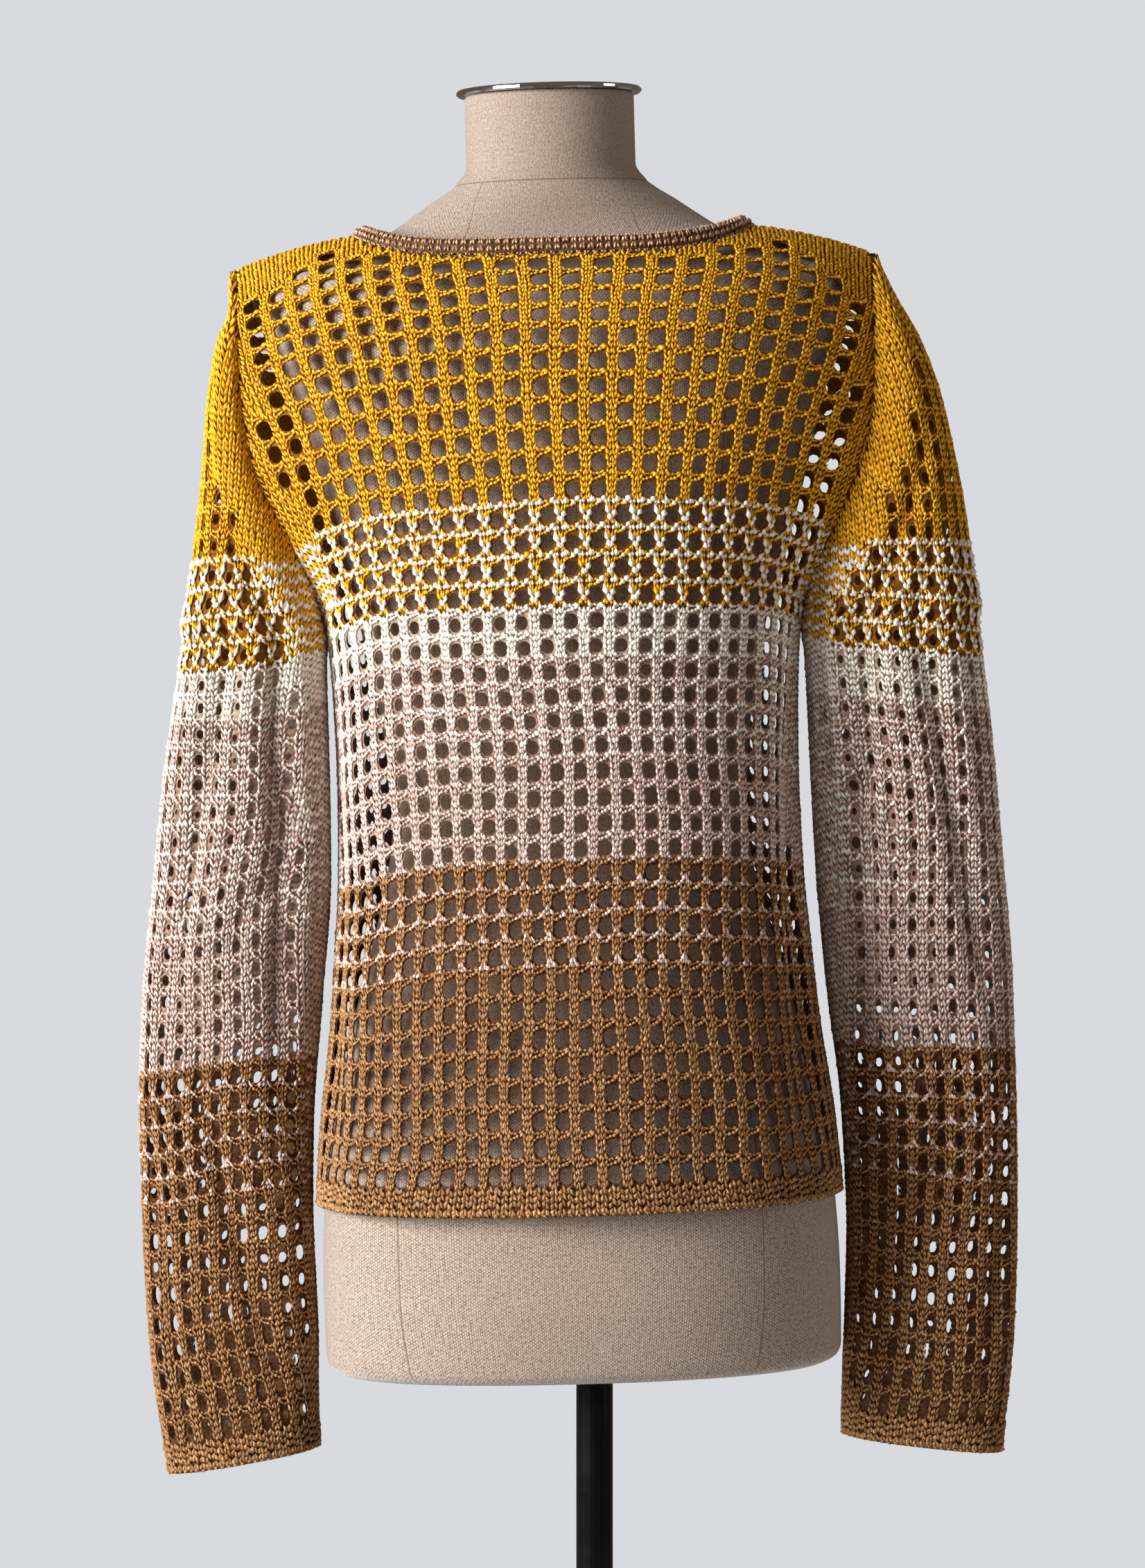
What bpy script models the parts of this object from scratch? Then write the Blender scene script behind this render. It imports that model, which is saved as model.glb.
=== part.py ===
"""A knitted cardigan on a limbless dress form, which stands on a pole and a round base.

The wearer would face +Y, so the garment's back faces -Y and the wearer's right side is at +X.
The form and the garment lean a little to -X on the upright pole, so they are modelled upright in
their own frame, with height 0 at the form's bottom, and hang from one tilted empty.
"""

import functools
import math
from collections import namedtuple

import bpy
import numpy as np
from mathutils import Vector

# Cloth, in metres
WALL = 0.0020
SEAM_GAP = 0.00065
UNDERARM_EASE = 0.0022
UNDERARM_EASE_HIGH = 0.035
HEM = 0.100
UNDERARM = 0.450
SPRING = 0.600
SHOULDER_SPAN = 0.120
TOP = SPRING + SHOULDER_SPAN
SHOULDER_RISE = 0.062
RIDGE_HIGH = 0.6705
RIDGE_FALL = 0.0225
RIDGE_POWER = 3.3
SHOULDER_HALF = 0.185
NECK_HALF = 0.117
BACK_NECK_DROP = 0.065
FRONT_NECK_DROP = 0.1385
BACK_NECK_POWER = 4
FRONT_NECK_POWER = 2.4
OPENING_TOP = 0.004
OPENING_HEM = 0.020

# The armhole seam's oval, seen from the side, and how much its wall's edges lean outward
ARMHOLE_MIDDLE = 0.545
ARMHOLE_HALF_HIGH = 0.105
ARMHOLE_HALF_DEEP = 0.040
ARMHOLE_OUTWARD = 0.3

# Trim
NECKBAND_HALF_HEIGHT = 0.0062
NECKBAND_HALF_DEPTH = 0.0038
NECKBAND_LEAN_BACK = math.radians(18)
NECKBAND_LEAN_SIDE = math.radians(60)
NECKBAND_EASE = 0.0012
FRONT_BAND_HALF_WIDTH = 0.0058
FRONT_BAND_HALF_DEPTH = 0.0030
TRIM_SIDES = 8

# Sleeves
SLEEVE_POWER = 2.3
CUFF_TILT = 0.0065
CUFF_TILT_TOP = 0.20
CUFF_TILT_SPAN = 0.25
TIP_HALF = 0.006
SLEEVE_CLEAR = 0.0015

# Dress form and stand
LEAN = math.radians(-1.6)
FORM_BOTTOM = (-0.006, 0.0, 0.780)
FORM_POWER = 2.3
NECK_RADIUS = 0.0496
NECK_START = 0.676
NECK_TOP = 0.7460
NECK_FORWARD = 0.005
CAP_RADIUS = 0.0543
CAP_THICK = 0.0034
CAP_BEVEL = 0.0010
POLE_RADIUS = 0.0108
BASE_RADIUS = 0.170
BASE_THICK = 0.012
BASE_EDGE = 0.0042
BASE_FOOT = 0.0013
SEAT = 0.0003

# Mesh counts
LOW_ROWS = 13
SEAM_ROWS = 10
NECK_COLUMNS = 7
SHOULDER_COLUMNS = 4
SLEEVE_LOW_ROWS = 17
SLEEVE_COLUMNS = 16
FORM_SIDES = 32
CURVE_STEPS = 48
FRONT_BAND_STEPS = 16
CAP_SIDES = 40
POLE_SIDES = 24
BASE_SIDES = 48

# The body: plan sections of the back and fronts, from the hem up to where the shoulders begin to round.
# seam_depth is how far the armhole seam lies behind, or in front of, the side; seam_angle is how the cloth
# meets it, 90 degrees where it runs straight fore and aft; fullness squares off the section.
BodyRow = namedtuple("BodyRow", "height half_width seam_depth seam_angle back front fullness")
BODY = (
    BodyRow(0.100, 0.1530, 0.000, 90, 0.122, 0.121, 0.66),
    BodyRow(0.135, 0.1510, 0.000, 90, 0.119, 0.119, 0.66),
    BodyRow(0.205, 0.1425, 0.000, 90, 0.112, 0.117, 0.66),
    BodyRow(0.250, 0.1385, 0.000, 90, 0.108, 0.117, 0.66),
    BodyRow(0.300, 0.1350, 0.000, 90, 0.105, 0.118, 0.66),
    BodyRow(0.355, 0.1340, 0.000, 90, 0.103, 0.121, 0.64),
    BodyRow(0.415, 0.1355, 0.000, 90, 0.102, 0.124, 0.62),
    BodyRow(0.450, 0.1390, 0.001, 88, 0.102, 0.126, 0.60),
    BodyRow(0.467, 0.1440, 0.015, 72, 0.102, 0.127, 0.58),
    BodyRow(0.504, 0.1600, 0.031, 52, 0.101, 0.128, 0.55),
    BodyRow(0.555, 0.1800, 0.0365, 42, 0.100, 0.120, 0.52),
    BodyRow(0.600, 0.1845, 0.036, 38, 0.098, 0.101, 0.50),
)

# Soft upright folds. across is the distance from the centre line round the panel. They fade to the side
# over FOLD_FADE of the panel and at their ends, sooner above than below by FOLD_TAIL.
FOLD_FADE = 0.15
FOLD_TAIL = 0.05
FOLD_POWER = 0.7
FOLD_TURN = 0.6
Fold = namedtuple("Fold", "across lean top bottom width depth")
BACK_FOLDS = (
    Fold(0.152, 0.05, 0.44, 0.13, 0.013, 0.0060),
    Fold(-0.172, -0.03, 0.42, 0.12, 0.012, 0.0035),
    Fold(0.070, 0.02, 0.24, 0.10, 0.022, 0.0030),
    Fold(-0.060, -0.03, 0.22, 0.10, 0.022, 0.0030),
)
FRONT_FOLDS = (
    Fold(0.062, -0.04, 0.44, 0.10, 0.014, 0.0060),
    Fold(0.104, 0.02, 0.36, 0.10, 0.015, 0.0045),
    Fold(0.150, 0.05, 0.43, 0.13, 0.013, 0.0040),
)

# Sleeves: where the inner and outer sides lie, half the depth, and how far the arm hangs forward.
SleeveRow = namedtuple("SleeveRow", "height inner outer depth forward")
SLEEVE_RIGHT = (
    SleeveRow(-0.053, 0.1525, 0.2445, 0.027, 0.010),
    SleeveRow(-0.018, 0.1535, 0.2490, 0.028, 0.009),
    SleeveRow(0.022, 0.1560, 0.2535, 0.030, 0.008),
    SleeveRow(0.084, 0.1585, 0.2565, 0.031, 0.007),
    SleeveRow(0.146, 0.1570, 0.2575, 0.032, 0.006),
    SleeveRow(0.221, 0.1500, 0.2570, 0.034, 0.004),
    SleeveRow(0.293, 0.1455, 0.2530, 0.037, 0.002),
    SleeveRow(0.369, 0.1435, 0.2480, 0.040, 0.000),
    SleeveRow(0.412, 0.1425, 0.2440, 0.042, 0.000),
    SleeveRow(0.440, 0.1395, 0.2415, 0.043, 0.000),
    SleeveRow(0.500, 0.1395, 0.2350, 0.044, 0.000),
    SleeveRow(0.535, 0.1395, 0.2290, 0.044, 0.000),
    SleeveRow(0.569, 0.1395, 0.2215, 0.043, 0.000),
    SleeveRow(0.598, 0.1395, 0.2110, 0.040, 0.000),
    SleeveRow(0.625, 0.1395, 0.1965, 0.0300, 0.000),
    SleeveRow(0.648, 0.1395, 0.1880, 0.006, 0.000),
)
SLEEVE_LEFT = (
    SleeveRow(-0.052, 0.1590, 0.2465, 0.026, 0.010),
    SleeveRow(-0.030, 0.1590, 0.2495, 0.027, 0.009),
    SleeveRow(0.022, 0.1580, 0.2550, 0.029, 0.008),
    SleeveRow(0.084, 0.1590, 0.2570, 0.030, 0.007),
    SleeveRow(0.146, 0.1570, 0.2570, 0.032, 0.006),
    SleeveRow(0.221, 0.1495, 0.2530, 0.034, 0.004),
    SleeveRow(0.293, 0.1425, 0.2440, 0.037, 0.002),
    SleeveRow(0.355, 0.1415, 0.2360, 0.039, 0.000),
    SleeveRow(0.412, 0.1415, 0.2260, 0.041, 0.000),
    SleeveRow(0.440, 0.1395, 0.2210, 0.042, 0.000),
    SleeveRow(0.500, 0.1395, 0.2120, 0.043, 0.000),
    SleeveRow(0.531, 0.1395, 0.2075, 0.043, 0.000),
    SleeveRow(0.569, 0.1395, 0.2035, 0.042, 0.000),
    SleeveRow(0.609, 0.1395, 0.1955, 0.0375, 0.000),
    SleeveRow(0.621, 0.1395, 0.1890, 0.0320, 0.000),
    SleeveRow(0.635, 0.1395, 0.1880, 0.0250, 0.000),
    SleeveRow(0.648, 0.1395, 0.1880, 0.006, 0.000),
)

# Sleeve creases. around is 0 at the inner side, 0.25 at the back and 0.5 at the outer side.
Crease = namedtuple("Crease", "height around slope length width depth")
CREASES = (
    Crease(0.330, 0.14, 0.35, 0.16, 0.012, 0.0040),
    Crease(0.275, 0.22, -0.30, 0.14, 0.013, 0.0035),
    Crease(0.300, 0.80, 0.30, 0.18, 0.014, 0.0045),
    Crease(0.225, 0.70, -0.25, 0.15, 0.013, 0.0035),
    Crease(0.060, 0.30, 0.25, 0.15, 0.014, 0.0025),
    Crease(0.020, 0.72, -0.25, 0.16, 0.014, 0.0025),
)

# The dress form's sections, from the bottom. Its lowest edge is rounded.
FormRow = namedtuple("FormRow", "height half_width back front")
FORM = (
    FormRow(0.0, 0.1415, 0.090, 0.086),
    FormRow(0.003, 0.1485, 0.097, 0.093),
    FormRow(0.010, 0.1515, 0.100, 0.096),
    FormRow(0.050, 0.1520, 0.107, 0.098),
    FormRow(0.100, 0.1500, 0.108, 0.098),
    FormRow(0.170, 0.1385, 0.100, 0.094),
    FormRow(0.210, 0.1290, 0.091, 0.090),
    FormRow(0.250, 0.1180, 0.082, 0.087),
    FormRow(0.285, 0.1090, 0.073, 0.083),
    FormRow(0.320, 0.1040, 0.068, 0.081),
    FormRow(0.360, 0.1060, 0.071, 0.084),
    FormRow(0.400, 0.1120, 0.078, 0.091),
    FormRow(0.440, 0.1200, 0.084, 0.102),
    FormRow(0.480, 0.1280, 0.088, 0.113),
    FormRow(0.520, 0.1350, 0.091, 0.118),
    FormRow(0.560, 0.1430, 0.092, 0.108),
    FormRow(0.595, 0.1560, 0.091, 0.090),
    FormRow(0.620, 0.1670, 0.085, 0.077),
    FormRow(0.6367, 0.1715, 0.074, 0.066),
    FormRow(0.6442, 0.1670, 0.063, 0.056),
    FormRow(0.6512, 0.1550, 0.054, 0.050),
    FormRow(0.6568, 0.1340, 0.048, 0.0450),
    FormRow(0.6606, 0.1130, 0.045, 0.0450),
    FormRow(0.6670, 0.0970, 0.0440, 0.048),
    FormRow(0.6740, 0.0860, 0.0440, 0.0505),
    FormRow(0.6830, 0.0730, 0.0445, 0.0530),
    FormRow(0.6935, 0.0575, 0.0446, 0.0543),
    FormRow(0.7050, NECK_RADIUS, NECK_RADIUS - NECK_FORWARD, NECK_RADIUS + NECK_FORWARD),
    FormRow(NECK_TOP, NECK_RADIUS, NECK_RADIUS - NECK_FORWARD, NECK_RADIUS + NECK_FORWARD),
)

# Colours of the materials: red, green and blue, roughness, metallic
COLOURS = {
    "wool": ((0.55, 0.33, 0.12), 0.85, 0.0),
    "wool_side": ((0.50, 0.36, 0.22), 0.85, 0.0),
    "trim": ((0.24, 0.15, 0.07), 0.70, 0.0),
    "linen": ((0.42, 0.33, 0.26), 0.90, 0.0),
    "chrome": ((0.80, 0.80, 0.80), 0.12, 1.0),
    "pole": ((0.03, 0.012, 0.010), 0.25, 0.0),
    "base": ((0.03, 0.03, 0.03), 0.40, 0.0),
}


def clear_scene():
    """Start from an empty scene."""
    for thing in list(bpy.data.objects):
        bpy.data.objects.remove(thing, do_unlink=True)


def read(rows, name, height):
    """One column of a table at any height, on a smooth curve through its rows that never overshoots."""
    known = np.array([row.height for row in rows])
    value = np.array([getattr(row, name) for row in rows], dtype=float)
    steep = np.diff(value) / np.diff(known)
    same = steep[:-1] * steep[1:] > 0
    safe = np.where(same, steep[:-1] + steep[1:], 1.0)
    slope = np.zeros(len(value))
    slope[1:-1] = np.where(same, 2 * steep[:-1] * steep[1:] / safe, 0.0)
    height = np.clip(height, known[0], known[-1])
    i = np.clip(np.searchsorted(known, height) - 1, 0, len(known) - 2)
    span = known[i + 1] - known[i]
    t = (height - known[i]) / span
    eased = value[i] + t * t * (3 - 2 * t) * (value[i + 1] - value[i])
    return eased + span * t * (1 - t) * ((1 - t) * slope[i] - t * slope[i + 1])


def lengths(points):
    """Distance along a polyline up to each of its points."""
    steps = np.linalg.norm(np.diff(points, axis=0), axis=1)
    return np.concatenate([[0.0], np.cumsum(steps)])


def resample(points, count):
    """The same polyline with count points, evenly spaced."""
    along = lengths(points)
    want = np.linspace(0, along[-1], count)
    return np.stack([np.interp(want, along, points[:, k]) for k in range(points.shape[1])], axis=1)


@functools.lru_cache(maxsize=None)
def section(face, height):
    """The cloth's plan curve on one face, from the centre line to the side, with the length along it."""
    w = float(read(BODY, "half_width", height))
    seam = float(read(BODY, "seam_depth", height))
    depth = float(read(BODY, face, height))
    full = float(read(BODY, "fullness", height))
    turn = math.tan(math.radians(float(read(BODY, "seam_angle", height))))
    rise = full * (depth - seam)
    corners = np.array([(0, depth), (full * w, depth), (w - rise / turn, seam + rise), (w, seam)])
    t = np.linspace(0, 1, CURVE_STEPS)[:, None]
    weights = np.hstack([(1 - t) ** 3, 3 * t * (1 - t) ** 2, 3 * t**2 * (1 - t), t**3])
    curve = weights @ corners
    return curve, lengths(curve)


def plan_point(face, height, share):
    """Plan place at a share of the way from the centre line to the side: x and distance fore or aft."""
    curve, along = section(face, height)
    at = share * along[-1]
    return np.interp(at, along, curve[:, 0]), np.interp(at, along, curve[:, 1])


def ridge(x):
    """Height of the shoulder line."""
    return RIDGE_HIGH - RIDGE_FALL * (abs(x) / SHOULDER_HALF) ** RIDGE_POWER


def cloth_point(face, share, level):
    """A point of the body's cloth on the wearer's right. level is a height up to SPRING, and above it
    counts on over the rounded shoulder to TOP at the shoulder line."""
    x_top, depth_top = plan_point(face, SPRING, share)
    fall = ridge(x_top) - SHOULDER_RISE
    if level <= SPRING:
        x, depth = plan_point(face, round(level, 5), share)
        z = level + (fall - SPRING) * (level - HEM) / (SPRING - HEM)
    else:
        angle = math.pi / 2 * (1 - (level - SPRING) / SHOULDER_SPAN)
        x = x_top
        depth = depth_top * math.sin(angle)
        z = fall + SHOULDER_RISE * math.cos(angle)
    return np.array([x, depth if face == "front" else -depth, z])


def neck_level(face, share):
    """The level at which a column of the cloth ends: at the shoulder line, or lower along the neckline."""
    x_top = min(float(plan_point(face, SPRING, share)[0]) / NECK_HALF, 1.0)
    if face == "back":
        return TOP - BACK_NECK_DROP * (1 - x_top**BACK_NECK_POWER) ** 0.5
    return TOP - FRONT_NECK_DROP * (1 - x_top**FRONT_NECK_POWER) ** 0.5


def edge_share(level):
    """Share of the front's section that the opening and its band leave free at the centre."""
    down = min(max((SPRING - level) / (SPRING - HEM), 0.0), 1.0)
    free = OPENING_TOP + (OPENING_HEM - OPENING_TOP) * down
    free += 2 * FRONT_BAND_HALF_WIDTH + SEAM_GAP
    return free / section("front", round(min(level, SPRING), 5))[1][-1]


def fold_depth(folds, across, height):
    """How far the folds push the cloth in at one place."""
    push = 0.0
    for fold in folds:
        middle = (fold.top + fold.bottom) / 2
        off = across - fold.across - fold.lean * (height - middle)
        rise = (height - fold.bottom + FOLD_TAIL) / (fold.top - fold.bottom + FOLD_TAIL)
        if 0 < rise < 1:
            swell = math.sin(math.pi * rise) ** FOLD_POWER
            push += fold.depth * swell * math.exp(-((off / fold.width) ** 2))
    return push


def levels(top):
    """The rows of one column: LOW_ROWS steps to the underarm and SEAM_ROWS above it."""
    low = np.linspace(HEM, UNDERARM, LOW_ROWS + 1)
    high = np.linspace(UNDERARM, top, SEAM_ROWS + 1)
    return np.concatenate([low, high[1:]])


def column_shares():
    """Shares of the columns from the centre line to the side. One of them runs up to the neck point."""
    curve, along = section("back", SPRING)
    neck = np.interp(NECK_HALF, curve[:, 0], along) / along[-1]
    inner = neck * np.sin(np.linspace(0, math.pi / 2, NECK_COLUMNS + 1))
    outer = np.linspace(neck, 1, SHOULDER_COLUMNS + 1)
    return np.concatenate([inner, outer[1:]])


def body_column(face, share_at, top, side, folds):
    """One column of a panel from the hem up. share_at gives its share of the section at a level."""
    points = []
    for level in levels(top):
        share = share_at(level)
        point = cloth_point(face, share, level)
        across = share * section(face, round(min(level, SPRING), 5))[1][-1] * side
        inward = fold_depth(folds, across if face == "back" else abs(across), level)
        inward *= min((1 - share) / FOLD_FADE, 1.0)
        flat = Vector((point[0] * FOLD_TURN, point[1], 0)).normalized()
        point[:2] -= inward * np.array(flat[:2])
        points.append((point[0] * side, point[1], point[2]))
    return np.array(points)


def side_share(level):
    """The last share of a panel: short of the side seam or armhole by half of the seam's gap."""
    return 1 - 0.5 * SEAM_GAP / section("back", round(min(level, SPRING), 5))[1][-1]


def back_grid():
    """Rows and columns of points over the back, from the wearer's left to right."""
    columns = []
    shares = column_shares()
    for u in np.concatenate([-shares[:0:-1], shares]):
        side = -1 if u < 0 else 1
        top = neck_level("back", abs(u)) - SEAM_GAP
        columns.append(
            body_column("back", lambda level, u=u: abs(u) * side_share(level), top, side, BACK_FOLDS)
        )
    return np.stack(columns, axis=1)


def front_share(level, w):
    """Share of the section for a column that reaches the shoulders' spring line at share w. The column
    nearest the centre follows the opening's edge."""
    edge, edge_top = edge_share(level), edge_share(SPRING)
    w = max(w, edge_top)
    return edge + (side_share(level) - edge) * (w - edge_top) / (1 - edge_top)


def front_grid(side):
    """Rows and columns over one front. They run from the wearer's right to left."""
    columns = []
    for w in column_shares()[::-1]:
        top = neck_level("front", front_share(SPRING, w)) - SEAM_GAP
        column = body_column("front", lambda level, w=w: front_share(level, w), top, side, FRONT_FOLDS)
        columns.append(column)
    if side < 0:
        columns.reverse()
    return np.stack(columns, axis=1)


def seam_normal(point):
    """The way out of the garment at the armhole seam: away from the middle of its oval."""
    y = point[1] / ARMHOLE_HALF_DEEP**2
    z = (point[2] - ARMHOLE_MIDDLE) / ARMHOLE_HALF_HIGH**2
    scale = math.hypot(y, z)
    outward = math.copysign(ARMHOLE_OUTWARD, point[0])
    return np.array(Vector((outward, y / scale, z / scale)).normalized())


def crease_depth(around, height):
    """How far the creases push a sleeve in at one place."""
    push = 0.0
    for crease in CREASES:
        off = (around - crease.around + 0.5) % 1 - 0.5
        along = off / (crease.length / 2)
        away = (height - crease.height - crease.slope * off) / crease.width
        if abs(along) < 1:
            push += crease.depth * math.cos(math.pi / 2 * along) ** 2 * math.exp(-(away**2))
    return push


def sleeve_row(table, height, seam):
    """One row round a right sleeve, from the seam or inner side round the back, outer side and front.
    seam is the armhole's point on this row, or None below the underarm."""
    outer = float(read(table, "outer", height))
    depth = float(read(table, "depth", height))
    forward = float(read(table, "forward", height))
    start_x = float(read(table, "inner", height)) if seam is None else seam[0]
    start_y = 0.0 if seam is None else abs(seam[1])
    depth = max(depth, start_y + SLEEVE_CLEAR)
    ratio = (1 - (start_y / depth) ** SLEEVE_POWER) ** (1 / SLEEVE_POWER)
    centre = (start_x + ratio * outer) / (1 + ratio)
    half = outer - centre
    start = math.pi - math.acos(ratio ** (SLEEVE_POWER / 2))
    angle = np.linspace(start, -start, 2 * CURVE_STEPS + 1)
    power = 2 / SLEEVE_POWER
    x = centre + half * np.sign(np.cos(angle)) * np.abs(np.cos(angle)) ** power
    y = forward - depth * np.sign(np.sin(angle)) * np.abs(np.sin(angle)) ** power
    row = resample(np.stack([x, y], axis=1), SLEEVE_COLUMNS + 1)
    tilt = CUFF_TILT * min(max((CUFF_TILT_TOP - height) / CUFF_TILT_SPAN, 0.0), 1.0)
    points = []
    for k, (px, py) in enumerate(row):
        inward = crease_depth(k / SLEEVE_COLUMNS, height)
        away = Vector((px - centre, (py - forward) * half / depth, 0)).normalized()
        z = height - tilt * (px - centre) / half
        points.append((px - inward * away.x, py - inward * away.y, z))
    return np.array(points)


def armhole():
    """The armhole seam on the wearer's right at the back, from the underarm to near the shoulder's tip."""
    return [cloth_point("back", 1.0, level) for level in levels(TOP - SEAM_GAP)[LOW_ROWS:]]


def armhole_gap(height, underarm):
    """How far a sleeve stands off the body along their seam. It is widest right under the arm."""
    near = max(0.0, 1 - (height - underarm) / UNDERARM_EASE_HIGH)
    return SEAM_GAP + UNDERARM_EASE * near**2


def sleeve_grid(table, side):
    """Rows and columns over one sleeve, from the cuff up to the shoulder's tip."""
    seam = armhole()
    low = np.linspace(table[0].height, seam[0][2], SLEEVE_LOW_ROWS + 1)[:-1]
    rows = [sleeve_row(table, height, None) for height in low]
    for point in seam[:-1]:
        rows.append(sleeve_row(table, point[2], point))
    tip, below = seam[-1], seam[-2]
    y = np.linspace(-TIP_HALF, TIP_HALF, SLEEVE_COLUMNS + 1)
    z = np.interp(np.abs(y), [0, abs(below[1])], [tip[2], below[2]])
    rows.append(np.stack([np.full_like(y, tip[0]), y, z], axis=1))
    grid = np.stack(rows)
    for i in range(len(low), len(grid)):
        grid[i, :, 0] += armhole_gap(grid[i, 0, 2], seam[0][2])
    if side < 0:
        grid = grid[:, ::-1] * np.array([-1, 1, 1])
    return grid, len(low)


def grid_normals(grid, welded):
    """Outward normals of a grid. Its first welded rows close on themselves."""
    across = np.gradient(grid, axis=1)
    up = np.gradient(grid, axis=0)
    for i in range(welded):
        ends = grid[i, 1] - grid[i, -2]
        across[i, 0] = across[i, -1] = ends / 2
    normal = np.cross(across, up)
    size = np.linalg.norm(normal, axis=2, keepdims=True)
    return normal / np.maximum(size, 1e-12)


def make_object(name, vertices, faces, colour, parent, location=(0, 0, 0)):
    """A smooth-shaded mesh object with its own material, under its parent."""
    mesh = bpy.data.meshes.new(name)
    mesh.from_pydata([tuple(float(c) for c in v) for v in vertices], [], faces)
    mesh.validate()
    mesh.update()
    mesh.shade_smooth()
    mesh.set_sharp_from_angle(angle=math.radians(50))
    rgb, roughness, metallic = COLOURS[colour]
    material = bpy.data.materials.new(name + "_finish")
    material.use_nodes = True
    shader = material.node_tree.nodes["Principled BSDF"]
    shader.inputs["Base Color"].default_value = (*rgb, 1)
    shader.inputs["Roughness"].default_value = roughness
    shader.inputs["Metallic"].default_value = metallic
    material.diffuse_color = (*rgb, 1)
    mesh.materials.append(material)
    piece = bpy.data.objects.new(name, mesh)
    piece.location = location
    piece.parent = parent
    bpy.context.collection.objects.link(piece)
    return piece


def make_wall(name, grid, colour, parent, welded=0, seam_columns=(), seam_from=0):
    """A wall of cloth, WALL thick, over a grid of points. The first welded rows are closed tubes.
    Rows from seam_from up take the armhole's normal in the columns of seam_columns."""
    normal = grid_normals(grid, welded)
    for j in seam_columns:
        for i in range(seam_from, grid.shape[0]):
            normal[i, j] = seam_normal(grid[i, j])
    rows, columns = grid.shape[:2]
    vertices, index = [], np.zeros((2, rows, columns), dtype=int)
    for layer, offset in enumerate((WALL / 2, -WALL / 2)):
        for i in range(rows):
            for j in range(columns):
                if i < welded and j == columns - 1:
                    index[layer, i, j] = index[layer, i, 0]
                    continue
                index[layer, i, j] = len(vertices)
                vertices.append(grid[i, j] + normal[i, j] * offset)
    outer, inner = index
    faces = []
    for i in range(rows - 1):
        for j in range(columns - 1):
            faces.append((outer[i, j], outer[i, j + 1], outer[i + 1, j + 1], outer[i + 1, j]))
            faces.append((inner[i, j], inner[i + 1, j], inner[i + 1, j + 1], inner[i, j + 1]))
    for j in range(columns - 1):
        faces.append((outer[0, j], inner[0, j], inner[0, j + 1], outer[0, j + 1]))
        faces.append((outer[-1, j], outer[-1, j + 1], inner[-1, j + 1], inner[-1, j]))
    last = columns - 1
    for i in range(max(welded - 1, 0), rows - 1):
        left = (outer[i, 0], outer[i + 1, 0], inner[i + 1, 0], inner[i, 0])
        right = (outer[i, last], inner[i, last], inner[i + 1, last], outer[i + 1, last])
        faces.append(tuple(dict.fromkeys(int(k) for k in left)))
        faces.append(tuple(dict.fromkeys(int(k) for k in right)))
    faces = [tuple(int(k) for k in face) for face in faces]
    return make_object(name, vertices, faces, colour, parent)


def make_strip(name, path, ups, half_high, half_deep, colour, parent):
    """A rounded strip along a path. Its high axis follows ups."""
    tangents = np.gradient(path, axis=0)
    vertices = []
    for point, tangent, up in zip(path, tangents, ups):
        t = Vector(tangent).normalized()
        u = Vector(up)
        u = (u - t * u.dot(t)).normalized()
        side = t.cross(u)
        for k in range(TRIM_SIDES):
            a = 2 * math.pi * (k + 0.5) / TRIM_SIDES
            offset = u * (half_high * math.sin(a)) + side * (half_deep * math.cos(a))
            vertices.append(Vector(point) + offset)
    faces = []
    for i in range(len(path) - 1):
        for k in range(TRIM_SIDES):
            a, b = i * TRIM_SIDES + k, i * TRIM_SIDES + (k + 1) % TRIM_SIDES
            faces.append((a, a + TRIM_SIDES, b + TRIM_SIDES, b))
    faces.append(tuple(range(TRIM_SIDES)))
    last = (len(path) - 1) * TRIM_SIDES
    faces.append(tuple(last + k for k in reversed(range(TRIM_SIDES))))
    return make_object(name, vertices, faces, colour, parent)


def neckline():
    """Points along the cloth's neck edge, from the left front edge round the back to the right one."""
    shares = column_shares()[: NECK_COLUMNS + 1]
    front = [max(share, edge_share(SPRING)) for share in shares]
    half = []
    for face, row in (("front", front), ("back", shares[-2::-1])):
        for share in row:
            half.append(cloth_point(face, share, neck_level(face, share)))
    right = np.array(half)
    left = right[:-1] * np.array([-1, 1, 1])
    return np.concatenate([left, right[::-1]])


def make_neckband(parent):
    """The rolled band that stands on the neck edge and leans in towards the neck."""
    line = neckline()
    inward = -line * np.array([1, 1, 0])
    inward /= np.linalg.norm(inward, axis=1, keepdims=True)
    aside = (np.abs(line[:, :1]) / NECK_HALF) ** 4
    lean = NECKBAND_LEAN_BACK + (NECKBAND_LEAN_SIDE - NECKBAND_LEAN_BACK) * aside
    ups = inward * np.sin(lean) + np.array([0, 0, 1]) * np.cos(lean)
    path = line + ups * (NECKBAND_HALF_HEIGHT + NECKBAND_EASE)
    reach = np.array([2 * FRONT_BAND_HALF_WIDTH, 0, 0])
    path = np.vstack([path[0] + reach, path, path[-1] - reach])
    ups = np.vstack([ups[0], ups, ups[-1]])
    return make_strip(
        "neckband", path, ups, NECKBAND_HALF_HEIGHT, NECKBAND_HALF_DEPTH, "trim", parent
    )


def make_front_band(name, side, parent):
    """The plain band down one edge of the front opening."""
    top = neck_level("front", edge_share(SPRING))
    path, ups = [], []
    for level in np.linspace(HEM, top, FRONT_BAND_STEPS):
        edge = cloth_point("front", edge_share(level), level)
        edge[0] -= FRONT_BAND_HALF_WIDTH + SEAM_GAP
        path.append(edge * np.array([side, 1, 1]))
        ups.append((side, 0, 0))
    return make_strip(
        name, np.array(path), np.array(ups), FRONT_BAND_HALF_WIDTH, FRONT_BAND_HALF_DEPTH, "trim", parent
    )


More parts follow.
